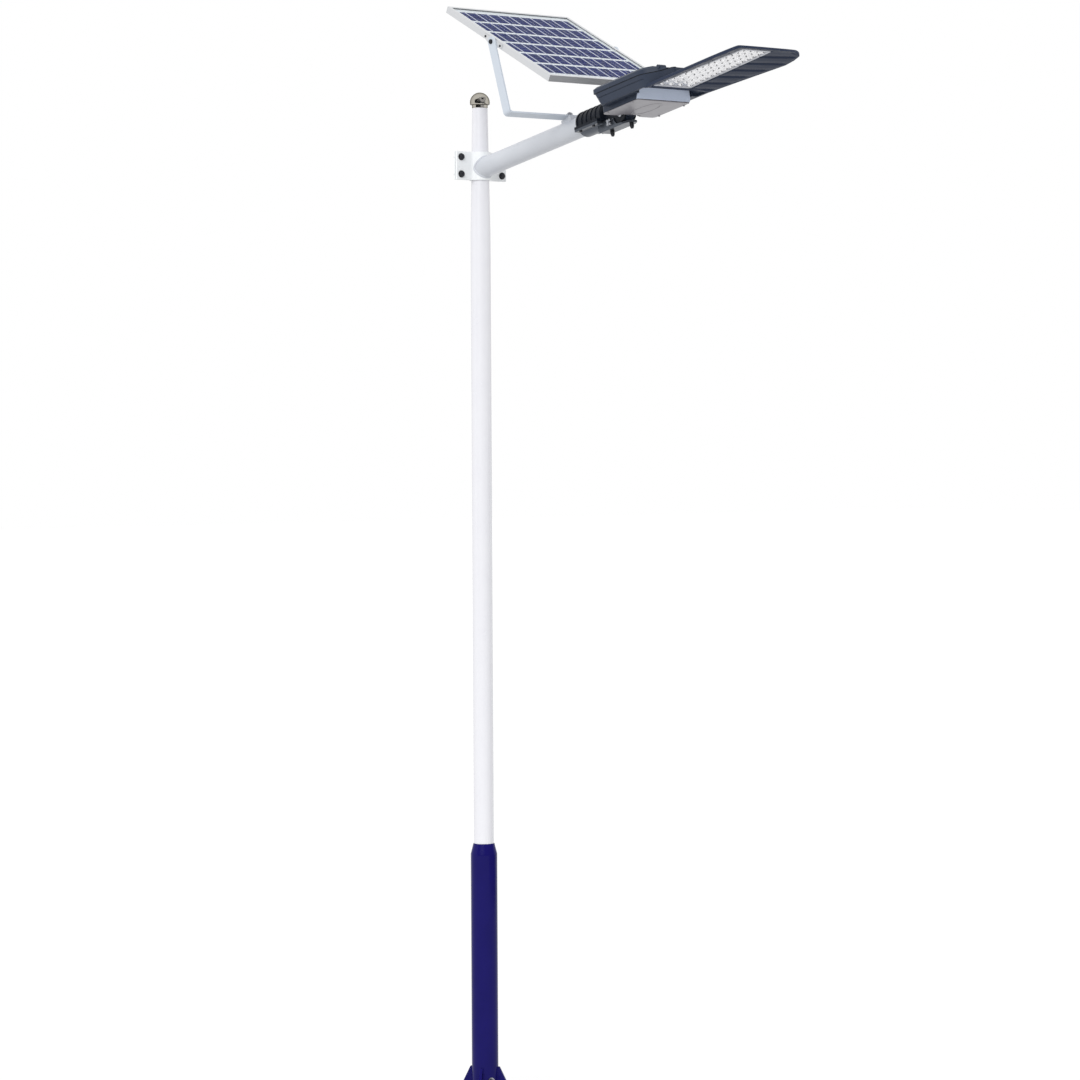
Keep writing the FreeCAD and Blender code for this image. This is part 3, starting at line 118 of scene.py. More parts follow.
BASE_TURN = math.radians(38)
PLATE_TOP, SLEEVE_RADIUS, SLEEVE_INNER, POLE_RADIUS = 14.0, 40.0, 36.5, 30.0
NECK_LOW, SLEEVE_TOP, NECK_LIP, NECK_WALL, NECK_FIT = 766.0, 798.0, 6.0, 2.0, 0.1
GUSSET_TOP, GUSSET_REACH, GUSSET_TOE, GUSSET_HEAD, GUSSET_THICK = 124.0, 94.0, 10.0, 5.0, 9.0
GUSSET_GAP, GUSSET_EDGE = 0.3, 0.8
FOOT_BEAD, RISE_BEAD, FLANGE_BEAD, BEAD_SIDES, FLANGE_STOP = 2.6, 2.2, 3.0, 10, 0.15
ARC_STEPS, SAME_POINT, MERGE_WITHIN, SHARP_FROM = 6, 1e-4, 0.002, math.radians(32)


def grid_faces(rows, columns):
    """Quads between neighbouring points of a grid whose last column joins its first."""
    row, column = np.arange(rows - 1)[:, None] * columns, np.arange(columns)
    ahead = (column + 1) % columns
    quads = np.stack([row + column, row + ahead, row + columns + ahead, row + columns + column], -1)
    return quads.reshape(-1, 4).tolist()


def piece(name, shells, body, material, replaces=()):
    """A mesh from closed shells. A shell is an array of rings, rows by columns by XYZ in mm: the
    rings are joined row by row, and the first and last are closed by a face unless they meet."""
    mesh = bpy.data.meshes.new(name)
    points, faces, start = [], [], 0
    for rings in shells:
        rows, columns = rings.shape[:2]
        faces += [[start + corner for corner in face] for face in grid_faces(rows, columns)]
        if not np.allclose(rings[0], rings[-1]):
            faces += [list(range(start + columns - 1, start - 1, -1)),
                      list(range(start + (rows - 1) * columns, start + rows * columns))]
        points.append(rings.reshape(-1, 3))
        start += rows * columns
    mesh.from_pydata(np.concatenate(points) * MM, [], faces)
    work = bmesh.new()
    work.from_mesh(mesh)
    bmesh.ops.remove_doubles(work, verts=work.verts, dist=MERGE_WITHIN * MM)
    bmesh.ops.dissolve_degenerate(work, edges=work.edges, dist=MERGE_WITHIN * MM)
    bmesh.ops.recalc_face_normals(work, faces=work.faces)
    work.to_mesh(mesh)
    work.free()
    mesh.shade_smooth()
    mesh.set_sharp_from_angle(angle=SHARP_FROM)
    mesh.materials.append(material)
    made = bpy.data.objects.new(name, mesh)
    bpy.context.scene.collection.objects.link(made)
    flat = made.modifiers.new("flat_faces", "WEIGHTED_NORMAL")
    flat.keep_sharp, flat.weight = True, 100
    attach(made, body)
    if replaces:
        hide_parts(*replaces)
    return made


def unit(vectors):
    """A vector, or each row of an array of them, divided by its length."""
    return vectors / np.linalg.norm(vectors, axis=-1, keepdims=True)


def rounded(corners, radii, steps=ARC_STEPS):
    """A closed outline: every corner becomes an arc of its radius, swept between the points where
    it leaves the two sides, by the sine rule for the angle between them."""
    corners, radii = np.array(corners, float), np.array(radii, float)[:, None]
    back, ahead = unit(np.roll(corners, 1, 0) - corners), unit(np.roll(corners, -1, 0) - corners)
    half = np.arccos(np.clip((back * ahead).sum(1), -1, 1))[:, None] / 2
    middle = back + ahead
    middle /= np.maximum(np.linalg.norm(middle, axis=1), 1e-9)[:, None]
    centre = corners + middle * radii / np.sin(half)
    first = corners + back * radii / np.tan(half) - centre
    last = corners + ahead * radii / np.tan(half) - centre
    turn = (math.pi - 2 * half)[:, None]
    share = np.linspace(0, 1, steps)[None, :, None]
    arcs = np.sin((1 - share) * turn) * first[:, None] + np.sin(share * turn) * last[:, None]
    loop = (centre[:, None] + arcs / np.maximum(np.sin(turn), 1e-9)).reshape(-1, 2)
    return loop[np.linalg.norm(loop - np.roll(loop, 1, 0), axis=1) > SAME_POINT]


def inset(loop, depth):
    """A closed outline moved inwards: each point along the bisector of its two sides' normals, by
    depth over the cosine of half the angle between them."""
    ahead = unit(np.roll(loop, -1, 0) - loop)
    side = np.stack([-ahead[:, 1], ahead[:, 0]], 1)
    both = side + np.roll(side, 1, 0)
    return loop + both / ((both ** 2).sum(1) / 2)[:, None] * depth


def slab(loop, low, high, edge, steps=4):
    """A plate from an outline: rings rise from low to high, drawn in along a quarter circle of
    radius edge at both faces."""
    angle = np.linspace(0, math.pi / 2, steps)
    draw = edge * (1 - np.sin(angle))
    rise = edge * (1 - np.cos(angle))
    depth = np.concatenate([draw, draw[::-1]])
    level = np.concatenate([low + rise, high - rise[::-1]])
    flat = inset(loop, depth[:, None, None])
    return np.dstack([flat, np.broadcast_to(level[:, None, None], (*flat.shape[:2], 1))])


def lathe(profile, segments=128):
    """A closed outline of radius and height, carried once round the Z axis."""
    profile = np.vstack([profile, profile[:1]])
    angle = np.linspace(0, 2 * math.pi, segments, endpoint=False)
    radius, height = profile[:, :1], profile[:, 1:]
    return np.dstack([radius * np.cos(angle), radius * np.sin(angle), height + 0 * angle])


def turned(points, angle):
    """Points turned about the Z axis."""
    c, s = math.cos(angle), math.sin(angle)
    return points @ np.array([[c, s, 0], [-s, c, 0], [0, 0, 1]])


def arc(centre, radius, start, stop, steps):
    """Points on a circle between two angles in radians."""
    angle = np.linspace(start, stop, steps)
    return np.stack([centre[0] + radius * np.cos(angle), centre[1] + radius * np.sin(angle)], 1)


def run_along(path):
    """The distance along a path to each of its points: the sum of the straight steps before it."""
    return np.concatenate([[0], np.cumsum(np.linalg.norm(np.diff(path, axis=0), axis=1))])


def weld_bead(path, radius, ripple=3.5):
    """A fillet weld: a circle carried along a path, drawn square to it from a direction that no
    weld here follows. Its radius swells and falls by a tenth at each ripple, in mm of path, and
    closes like a round end, to a fiftieth, over one radius at both ends."""
    run = run_along(path)
    along = unit(np.gradient(path, axis=0))
    side = unit(np.cross(along, [0.31, 0.22, 0.93]))
    other = np.cross(along, side)
    swell = radius * (1 + 0.1 * np.abs(np.sin(math.pi * run / ripple)))
    swell = swell * np.sqrt(np.clip(np.minimum(run, run[-1] - run) / radius, 0.02 ** 2, 1))
    angle = np.linspace(0, 2 * math.pi, BEAD_SIDES, endpoint=False)[None, :, None]
    ring = np.cos(angle) * side[:, None] + np.sin(angle) * other[:, None]
    return path[:, None] + ring * swell[:, None, None]


sleeve_profile = rounded(
    [(SLEEVE_INNER, PLATE_TOP), (SLEEVE_RADIUS, PLATE_TOP), (SLEEVE_RADIUS, NECK_LOW),
     (POLE_RADIUS + NECK_WALL, SLEEVE_TOP), (POLE_RADIUS + NECK_FIT, SLEEVE_TOP),
     (POLE_RADIUS + NECK_FIT, SLEEVE_TOP - NECK_LIP), (SLEEVE_INNER, NECK_LOW)],
    [0.3, 0.3, 22, 0.8, 0.3, 0.3, 9])
piece("sleeve_shell", [lathe(sleeve_profile)], "pole", blue_enamel, ["base_sleeve"])

gusset_side = rounded(
    [(SLEEVE_RADIUS + GUSSET_GAP, PLATE_TOP), (GUSSET_REACH, PLATE_TOP),
     (GUSSET_REACH, PLATE_TOP + GUSSET_TOE), (SLEEVE_RADIUS + GUSSET_HEAD, GUSSET_TOP),
     (SLEEVE_RADIUS + GUSSET_GAP, GUSSET_TOP)], [0.8, 1.5, 4, 2, 0.8])
gusset = slab(gusset_side, -GUSSET_THICK / 2, GUSSET_THICK / 2, GUSSET_EDGE)[..., [0, 2, 1]]
quarters = BASE_TURN + np.arange(4) * math.pi / 2
piece("gusset_plates", [turned(gusset, q) for q in quarters], "pole", blue_enamel,
      ["base_gussets"])

# Each gusset has a bead along both sides of its foot and of its back, and between neighbours one
# more runs round the sleeve. All stop a little short of the corners.
foot_run = np.linspace(SLEEVE_RADIUS + 1, GUSSET_REACH - 2, 60)
rise_run = np.linspace(PLATE_TOP + 3, GUSSET_TOP - 3, 120)
beads = []
for q in quarters:
    for side in (-1, 1):
        edge = side * GUSSET_THICK / 2
        foot = np.stack([foot_run, 0 * foot_run + edge, 0 * foot_run + PLATE_TOP], 1)
        beads.append(turned(weld_bead(foot, FOOT_BEAD), q))
        wall = math.sqrt(SLEEVE_RADIUS ** 2 - edge ** 2)
        rise = np.stack([0 * rise_run + wall, 0 * rise_run + edge, rise_run], 1)
        beads.append(turned(weld_bead(rise, RISE_BEAD), q))
    ring = arc((0, 0), SLEEVE_RADIUS, FLANGE_STOP, math.pi / 2 - FLANGE_STOP, 60)
    ring = np.column_stack([ring, np.full(len(ring), PLATE_TOP)])
    beads.append(turned(weld_bead(ring, FLANGE_BEAD), q))
piece("base_welds", beads, "pole", blue_enamel)

# ---- Earthing boss -------------------------------------------------------------------------
# A stud on a round boss that is welded to the sleeve, with a washer and a domed nut, for the
# earth bond. All of it is zinc plated.

# Bright zinc plate: a thin electroplated skin over steel, satin, with faint milky clouds.
zinc_plate = coated("bright_zinc_plate", "#B4B6BA", "#9C9FA6", roughness=0.32, grain=1.2, relief=0.01,
                    metallic=1.0, cloud=8.0)
finish_nodes(zinc_plate, "zinc", "earth_nut", "earth_stud", "swivel_stud", "swivel_nut", "star_nuts",
             "star_bolt", "knuckle_pin", "knuckle_nut")

# ---- Pole ----------------------------------------------------------------------------------
# A round steel tube, 60 mm across up to a height of 2.6 m and then drawn to 46 mm at the top. It is
# powder coated white and stands on a ring in the sleeve.

POLE_WALL, POLE_FOOT, TAPER_START, POLE_TOP, POLE_TOP_RADIUS = 2.5, 638.0, 2612.0, 3002.0, 23.0
KNEE_LOW, KNEE_HIGH, KNEE_DRAW, POLE_BREAK = 40.0, 20.0, 0.2, 0.5

# Gloss polyester powder coat: bright white with a soft orange peel a few mm across.
white_powder = coated("gloss_powder_coat_white", "#EAEAEE", "#E4E4EA", roughness=0.26, grain=3.0,
                      relief=0.02)
pole_profile = np.array([
    (POLE_RADIUS - POLE_WALL, POLE_FOOT), (POLE_RADIUS, POLE_FOOT),
    (POLE_RADIUS, TAPER_START - KNEE_LOW), (POLE_RADIUS - KNEE_DRAW, TAPER_START + KNEE_HIGH),
    (POLE_TOP_RADIUS, POLE_TOP - POLE_BREAK),
    (POLE_TOP_RADIUS - POLE_BREAK, POLE_TOP), (POLE_TOP_RADIUS - POLE_WALL, POLE_TOP),
    (POLE_RADIUS - POLE_WALL, TAPER_START)])
piece("pole_shell", [lathe(pole_profile)], "pole", white_powder, ["pole_tube"])
finish_nodes(white_powder, "pole_white", "pole_seat", "cap_plug")

# ---- Ball cap ------------------------------------------------------------------------------
# A hollow ball spun from stainless sheet, polished, over a turned ferrule that closes the pole.

BALL_RADIUS, BALL_LEVEL, CAP_WALL, PLUG_RADIUS = 29.5, 3019.0, 2.0, 19.1
FERRULE_HIGH, FERRULE_RADIUS = 10.0, 23.4
SPIN_MARK = 1.5

# Polished stainless: a warm mirror with level, hair-fine spinning marks, drawn 1.5 mm apart to show.
polished, place = new_material("polished_stainless_spun")
spin = add_node(polished, "Mapping", {"Vector": place, "Scale": (2.0, 2.0, 1 / (SPIN_MARK * MM))})
marks = add_node(polished, "TexNoise", {"Vector": spin, "Scale": 1.0, "Detail": 2.0})
mirror = add_node(polished, "MapRange", {"Value": marks, "To Min": 0.05, "To Max": 0.11})
skin = add_node(polished, "BsdfPrincipled", {"Base Color": linear("#B4B0A7"), "Metallic": 1.0,
                                             "Roughness": mirror, "Specular Tint": linear("#4A473C")})
add_node(polished, "OutputMaterial", {"Surface": skin})

neck = BALL_LEVEL - POLE_TOP - FERRULE_HIGH
hollow = BALL_RADIUS - CAP_WALL
outer = arc((0, BALL_LEVEL), BALL_RADIUS, -math.asin(neck / BALL_RADIUS), math.pi / 2, 48)
inner = arc((0, BALL_LEVEL), hollow, math.pi / 2, -math.asin((neck - CAP_WALL) / hollow), 24)
ferrule_top = POLE_TOP + FERRULE_HIGH
ferrule = rounded([(PLUG_RADIUS, POLE_TOP), (FERRULE_RADIUS, POLE_TOP), (FERRULE_RADIUS, ferrule_top),
                   (PLUG_RADIUS, ferrule_top)], [0.2, 0.8, 1.2, 0.2])
cap = np.vstack([ferrule[:-ARC_STEPS], outer, inner, [(PLUG_RADIUS, ferrule_top + CAP_WALL)]])
piece("ball_shell", [lathe(cap, 96)], "pole", polished, ["cap_ball"])

# ---- Clamp ---------------------------------------------------------------------------------
# Two cast half hoops with flat ears grip the pole and carry the arm. They are powder coated a
# pale grey and drawn together by four black bolts.

CLAMP_LOW, CLAMP_HIGH, HOOP_INNER, HOOP_OUTER = 2786.0, 2870.0, 27.18, 32.68
EAR_INNER, EAR_FACE, EAR_HALF, EAR_FILLET, EAR_CORNER, HOOP_EDGE = 1.5, 7.0, 92.5, 12.0, 1.5, 0.7

# Semi-gloss polyester powder coat: the palest grey, with a finer peel than the pole's.
clamp_powder = coated("semi_gloss_powder_coat_pale_grey", "#F6F8F9", "#F0F3F5", roughness=0.36,
                      grain=2.5, relief=0.02)
# Black zinc: dark blued plating on the bolts, with a dull satin sheen.
black_zinc = coated("black_zinc_plate", "#26272B", "#33343A", roughness=0.38, grain=1.0, relief=0.01,
                    metallic=0.6, cloud=6.0)

fillet_x = EAR_FACE + EAR_FILLET
fillet_y = math.sqrt((HOOP_OUTER + EAR_FILLET) ** 2 - fillet_x ** 2)
lean = math.atan2(fillet_y, fillet_x)
seat = math.acos(EAR_INNER / HOOP_INNER)
upper = np.vstack([
    arc((0, 0), HOOP_OUTER, 0, lean, 24)[1:],
    arc((fillet_x, fillet_y), EAR_FILLET, lean + math.pi, math.pi, 8)[1:],
    arc((EAR_FACE - EAR_CORNER, EAR_HALF - EAR_CORNER), EAR_CORNER, 0, math.pi / 2, 5),
    [(EAR_INNER, EAR_HALF)],
    arc((0, 0), HOOP_INNER, seat, 0, 28)])
half_hoop = np.vstack([upper, upper[-2::-1] * (1, -1), [(HOOP_OUTER, 0)]])
hoop = slab(half_hoop, CLAMP_LOW, CLAMP_HIGH, HOOP_EDGE)
piece("clamp_front_half", [hoop], "arm", clamp_powder, ["clamp_front"])
piece("clamp_rear_half", [turned(hoop, math.pi)], "arm", clamp_powder, ["clamp_rear"])
finish_nodes(black_zinc, "bolt_black", "clamp_bolts", "clamp_washers", "clamp_nuts", "flange_screws",
             "cradle_bolts", "tilt_bolts", "tilt_nuts", "lug_screws", "lens_screws")

# ---- Arm -----------------------------------------------------------------------------------
# A 60 mm steel tube, coped to fit the front half hoop and welded to it all round, rising 10.8
# degrees. Its end runs into the lamp's adaptor.

ARM_LEAN = math.radians(10.8)
KNUCKLE_REACH, KNUCKLE_DROP = 696.0, 17.0
ARM_RADIUS, ARM_WALL, ARM_START, ARM_END, ARM_BREAK = 30.0, 2.5, 90.0, 612.0, 0.8
SEAM_OUT, SEAM_BEAD, SEAM_RIPPLE = 0.5, 3.2, 4.0
hinge = {joint["name"]: np.array(joint["pos_m"]) / MM for joint in frame["joints"]}

# The clamp's semi-gloss powder coat in a light, cool grey.
grey_powder = coated("semi_gloss_powder_coat_grey", "#D2D5DB", "#CACED5", roughness=0.36, grain=2.5,
                     relief=0.02)


def placed(points, origin, lean):
    """Points of an axis system that leans back about Y, so that its X rises by lean from level,
    turned and moved to the lamp's own axes."""
    c, s = math.cos(lean), math.sin(lean)
    return np.asarray(points) @ np.array([[c, 0, s], [0, 1, 0], [-s, 0, c]]) + origin


arm_origin = hinge["head_tilt"] - placed([KNUCKLE_REACH, 0, -KNUCKLE_DROP], 0, ARM_LEAN)


def coped(radius, segments=128):
    """Where a tube round the arm's axis meets the upright hoop: the distance along the axis at
    which the point's X and Y lie on the hoop's circle."""
    angle = np.linspace(0, 2 * math.pi, segments, endpoint=False)
    across, above = radius * np.cos(angle), radius * np.sin(angle)
    reach = (np.sqrt(HOOP_OUTER ** 2 - across ** 2) + above * math.sin(ARM_LEAN)) / math.cos(ARM_LEAN)
    return np.stack([reach, across, above], 1)


def tube_ring(radius, reach):
    """A ring round the arm's axis at one distance along it."""
    ring = coped(radius)
    ring[:, 0] = reach
    return ring


bore = ARM_RADIUS - ARM_WALL
arm_rings = np.stack([
    coped(ARM_RADIUS), tube_ring(ARM_RADIUS, ARM_START), tube_ring(ARM_RADIUS, ARM_END - ARM_BREAK),
    tube_ring(ARM_RADIUS - ARM_BREAK, ARM_END), tube_ring(bore, ARM_END), tube_ring(bore, ARM_START),
    coped(bore), coped(ARM_RADIUS)])
piece("arm_shell", [placed(arm_rings, arm_origin, ARM_LEAN)], "arm", grey_powder,
      ["arm_tube"])
seam = placed(coped(ARM_RADIUS + SEAM_OUT, 240), arm_origin, ARM_LEAN)
piece("arm_weld", [weld_bead(np.vstack([seam, seam[:2]]), SEAM_BEAD, SEAM_RIPPLE)], "arm", grey_powder)
finish_nodes(grey_powder, "arm_grey", "bracket_saddle")

# ---- Adaptor -------------------------------------------------------------------------------
# A die-cast socket with turned ribs grips the arm's end. Its ears carry the head on a pin, and
# a bright cradle bolts up under it.

# Satin paint on the die-cast socket: near black with a fine cast grain.
socket_paint = coated("satin_paint_on_die_casting_black", "#0F141D", "#171D27", roughness=0.42,
                      grain=1.6, relief=0.03, specular=0.2)
# Bare die-cast aluminium: grey and lightly blasted, with darker clouds left by the die. Its grey is
# painted much darker than the bare metal, as painted shade for the cradle in shadow under the head.
cradle_casting_painted_shade = coated("blasted_die_cast_aluminium_painted_shade", "#5B6068", "#484D55", roughness=0.3,
                         grain=1.4, relief=0.04, metallic=0.8, cloud=18.0)
finish_nodes(socket_paint, "adaptor_dark", "spigot_barrel")
finish_nodes(cradle_casting_painted_shade, "cradle_silver", "spigot_cradle")

# ---- Panel bracket -------------------------------------------------------------------------
# One strip of 30 by 5 mm steel bent to a U. It turns on a stud on the arm, and the panel tips
# between its two rounded ends.

STRAP_HALF, STRAP_THICK, STRAP_BEND = 15.0, 5.0, 7.0
LEG_INNER, STRAP_GAP, TILT_HEIGHT, SWIVEL_LEAN = 226.0, 0.35, 226.35, math.radians(19)
STRAP_TIP_HALF, STRAP_ROUND = 0.2, 0.06

# Satin powder coat: a cool light grey with a soft, even sheen.
satin_powder = coated("satin_powder_coat_cool_grey", "#CFD7E0", "#C8D0DB", roughness=0.4, grain=2.5,
                      relief=0.02)


def points_at(path, stations):
    """Points at given distances along a path, on the straight lines between its own points."""
    run = run_along(path)
    return np.stack([np.interp(stations, run, path[:, k]) for k in (0, 1)], 1)


def rectangle(half_long, half_wide):
    """The corners of a rectangle round the origin, anticlockwise."""
    return [(-half_long, -half_wide), (half_long, -half_wide), (half_long, half_wide),
            (-half_long, half_wide)]


# The strap's middle line in its own plane: down one leg, across the saddle and up the other.
leg, floor_level = LEG_INNER + STRAP_THICK / 2, STRAP_GAP + STRAP_THICK / 2
tip = TILT_HEIGHT + STRAP_HALF
bend = STRAP_BEND + STRAP_THICK / 2
u_line = np.vstack([
    [(-leg, tip)],
    arc((-leg + bend, floor_level + bend), bend, math.pi, 1.5 * math.pi, 12),
    arc((leg - bend, floor_level + bend), bend, 1.5 * math.pi, 2 * math.pi, 12),
    [(leg, tip)]])
run = run_along(u_line)
round_end = STRAP_HALF * (1 - np.cos(np.linspace(0, math.pi / 2, 14)))
stations = np.unique(np.concatenate([round_end, run[1:-1], np.linspace(run[1], run[-2], 40),
                                     run[-1] - round_end]).round(4))
line = points_at(u_line, stations)
along = unit(np.gradient(line, stations, axis=0))
out = np.stack([along[:, 1], -along[:, 0]], 1)
# Half the width is the half chord of a circle at each tip, and full elsewhere.
left = np.minimum(stations, run[-1] - stations)
chord = STRAP_HALF ** 2 - np.clip(STRAP_HALF - left, 0, None) ** 2
width = np.sqrt(np.clip(chord, STRAP_TIP_HALF ** 2, None))
edge = rounded(rectangle(1, STRAP_THICK / 2), [STRAP_ROUND] * 4, 4)
strap = np.stack([width[:, None] * edge[:, 0], line[:, :1] + out[:, :1] * edge[:, 1],
                  line[:, 1:] + out[:, 1:] * edge[:, 1]], -1)
piece("bracket_strap", [placed(strap, hinge["panel_swivel"], SWIVEL_LEAN)], "bracket", satin_powder,
      ["panel_bracket"])

# ---- Panel frame ---------------------------------------------------------------------------
# Extruded aluminium rails, mitred and keyed at the corners and satin anodised. A lip holds the
# glass and a foot stiffens the back.

PANEL_LEAN = math.radians(-26.5)
TILT_BACK, TILT_DROP = 19.0, 3.0
HALF_LONG, HALF_WIDE, HALF_RAIL = 269.0, 223.0, 10.0
RAIL_WALL, RAIL_LIP, RAIL_FOOT = 1.6, 9.0, 17.0
GLASS_THICK, CELL_THICK, RIBBON_THICK, SHEET_THICK, SHELF_GAP = 3.2, 0.3, 0.1, 0.9, 0.2
panel_origin = hinge["panel_tilt"] + placed([TILT_BACK, 0, TILT_DROP], 0, PANEL_LEAN)

# Satin anodised extrusion: pale aluminium under a clear skin, with a fine mottle in its gloss.
anodised, place = new_material("satin_anodised_aluminium")
clouds = add_node(anodised, "TexNoise", {"Vector": place, "Scale": 1 / (90 * MM), "Detail": 3.0})
mottle = add_node(anodised, "TexNoise", {"Vector": place, "Scale": 1 / (2 * MM), "Detail": 1.0})
tint = add_node(anodised, "Mix", {"Factor": clouds, "A": linear("#D8D9DB"), "B": linear("#CFD1D4")},
                data_type="RGBA")
gloss = add_node(anodised, "MapRange", {"Value": mottle, "To Min": 0.28, "To Max": 0.38})
skin = add_node(anodised, "BsdfPrincipled", {"Base Color": tint, "Metallic": 0.55, "Roughness": gloss})
add_node(anodised, "OutputMaterial", {"Surface": skin})

lip_under = HALF_RAIL - RAIL_WALL
glass_low = lip_under - GLASS_THICK
sheet_high = glass_low - CELL_THICK - RIBBON_THICK
shelf = sheet_high - SHEET_THICK - SHELF_GAP
rail_section = rounded(
    [(0, -HALF_RAIL), (RAIL_FOOT, -HALF_RAIL), (RAIL_FOOT, RAIL_WALL - HALF_RAIL),
     (RAIL_WALL, RAIL_WALL - HALF_RAIL), (RAIL_WALL, shelf - RAIL_WALL), (RAIL_LIP, shelf - RAIL_WALL),
     (RAIL_LIP, shelf), (RAIL_WALL, shelf), (RAIL_WALL, lip_under), (RAIL_LIP, lip_under),
     (RAIL_LIP, HALF_RAIL), (0, HALF_RAIL)],
    [1.0, 0.5, 0.5, 0.3, 0.3, 0.3, 0.3, 0.3, 0.3, 0.3, 0.6, 1.0], 4)


def on_panel(points):
    """Points of the panel's own axes, whose origin is its middle, placed on the leaning panel."""
    return placed(points, panel_origin, PANEL_LEAN)


def rail(length, reach):
    """A mitred rail along X: the section's depth draws in both its ends and its outer face."""
    depth, level = rail_section.T
    end = length / 2 - depth
    return np.stack([np.stack([side * end, reach - depth, level], 1) for side in (-1, 1)])


sides = [turned(rail(2 * HALF_LONG, HALF_WIDE), k * math.pi) for k in (0, 1)]
ends = [turned(rail(2 * HALF_WIDE, HALF_LONG), (k + 0.5) * math.pi) for k in (0, 1)]
for name, rails, node in (("side_rail_pair", sides, "frame_side_rails"),
                          ("end_rail_pair", ends, "frame_end_rails")):
    piece(name, [on_panel(r) for r in rails], "panel", anodised, [node])
finish_nodes(anodised, "frame_aluminium", "corner_keys", "panel_lugs")

# ---- Glass and cells -----------------------------------------------------------------------
# Thirty blue silicon cells, joined by tinned ribbons, lie between toughened glass and a white
# back sheet.

COLUMNS, ROWS, COLUMN_PITCH, ROW_PITCH, CELL_WIDE, CELL_DEEP = 5, 6, 80.5, 81.0, 79.0, 68.0
CELL_CORNER, CELL_EDGE, GLASS_FIT, GLASS_CORNER, GLASS_EDGE = 1.5, 0.05, 1.0, 2.0, 0.3
FINGER_SPACING, WAVE_LENGTH = 20.0, 0.314
glass_long, glass_wide = HALF_LONG - RAIL_WALL - GLASS_FIT, HALF_WIDE - RAIL_WALL - GLASS_FIT

# Toughened low-iron glass: clear, a hint of green-blue, with a very slight roller wave. Its film
# against reflections takes most of its shine, so its IOR is set low.
glass, place = new_material("toughened_low_iron_glass")
wave = add_node(glass, "TexNoise", {"Vector": place, "Scale": 1 / (40 * MM), "Detail": 1.0})
bump = add_node(glass, "Bump", {"Height": wave, "Distance": 0.05 * MM})
skin = add_node(glass, "BsdfPrincipled", {
    "Base Color": linear("#F4F8F8"), "Roughness": 0.04, "IOR": 1.02, "Transmission Weight": 1.0,
    "Normal": bump})
add_node(glass, "OutputMaterial", {"Surface": skin})
glass_plan = rounded(rectangle(glass_long, glass_wide), [GLASS_CORNER] * 4)
glass_sheet = slab(glass_plan, glass_low, lip_under, GLASS_EDGE)
pane = piece("glass_pane", [on_panel(glass_sheet)], "panel", glass, ["panel_glass"])
pane.visible_shadow = False

# Silicon under an anti-reflective film: deep blue, with silver fingers across each cell. The real
# ones are 0.1 mm wide and 2 mm apart. They are drawn 20 mm apart, wider and fainter, so that they
# show, and the wave texture that draws them repeats every 0.314 units at a scale of 1.
silicon, place = new_material("silicon_cell_blue_film")
flat = add_node(silicon, "Mapping", {"Vector": place, "Rotation": (0, PANEL_LEAN, 0)})
fingers = add_node(silicon, "TexWave", {"Vector": flat, "Scale": WAVE_LENGTH / (FINGER_SPACING * MM),
                                        "Distortion": 0.0}, bands_direction="X")
line = add_node(silicon, "MapRange", {"Value": fingers, "From Min": 0.8, "To Max": 0.2})
film = add_node(silicon, "TexNoise", {"Vector": place, "Scale": 1 / (70 * MM), "Detail": 2.0})
blue = add_node(silicon, "Mix", {"Factor": film, "A": linear("#111A56"), "B": linear("#1B2572")},
                data_type="RGBA")
tint = add_node(silicon, "Mix", {"Factor": line, "A": blue, "B": linear("#8D93B8")}, data_type="RGBA")
skin = add_node(silicon, "BsdfPrincipled", {"Base Color": tint, "Roughness": 0.35,
                                            "Specular IOR Level": 0.02})
add_node(silicon, "OutputMaterial", {"Surface": skin})
# Tinned copper ribbon: soft silver with a lavender cast from the film beside it.
tinned = coated("tinned_copper_ribbon", "#E4E4F4", "#D8D8EC", roughness=0.4, grain=3.0, relief=0.01,
                metallic=0.2, cloud=12.0)
# White fluoropolymer back sheet: a plain matt film.
back_film = coated("fluoropolymer_back_sheet", "#F8F8FC", "#F2F2F8", roughness=0.6, grain=2.0,
                   relief=0.01)
cell_plan = rounded(rectangle(CELL_DEEP / 2, CELL_WIDE / 2), [CELL_CORNER] * 4, 3)
wafer = slab(cell_plan, sheet_high, sheet_high + CELL_THICK, CELL_EDGE, 2)
wafers = [wafer + ((row - (ROWS - 1) / 2) * ROW_PITCH, (column - (COLUMNS - 1) / 2) * COLUMN_PITCH, 0)
          for column in range(COLUMNS) for row in range(ROWS)]
piece("cell_wafers", [on_panel(w) for w in wafers], "panel", silicon, ["solar_cells"])
finish_nodes(tinned, "ribbon_silver", "cell_ribbons")
finish_nodes(back_film, "backsheet_white", "back_sheet")

# ---- Junction box --------------------------------------------------------------------------
# A moulded box glued to the back sheet, with two cable glands.

# Moulded black polycarbonate, matt, with a spark-eroded grain under a millimetre across.
black_plastic = coated("moulded_polycarbonate_black", "#1B1B1E", "#232327", roughness=0.55, grain=0.9,
                       relief=0.02)
finish_nodes(black_plastic, "plastic_black", "junction_box", "junction_lid", "junction_glands",
             "cable_gland", "controller_case", "battery_holder")

# ---- Lamp head -----------------------------------------------------------------------------
# A die-cast aluminium housing with a hinged lid, carried on a knuckle. A box under it holds the
# battery. The castings are painted a dark slate blue.

HEAD_STAND, HEAD_RISE = 213.0, 7.0
head_origin = hinge["head_tilt"] + placed([HEAD_STAND, 0, KNUCKLE_DROP + HEAD_RISE], 0, ARM_LEAN)

# Satin polyester paint on a die casting: slate blue, with a fine cast grain beneath.
slate_paint = coated("satin_paint_on_die_casting_slate", "#353E4F", "#2E3646", roughness=0.4,
                     grain=1.6, relief=0.03, specular=0.25)
finish_nodes(slate_paint, "casting_dark", "housing_body", "housing_lid", "tilt_knuckle")
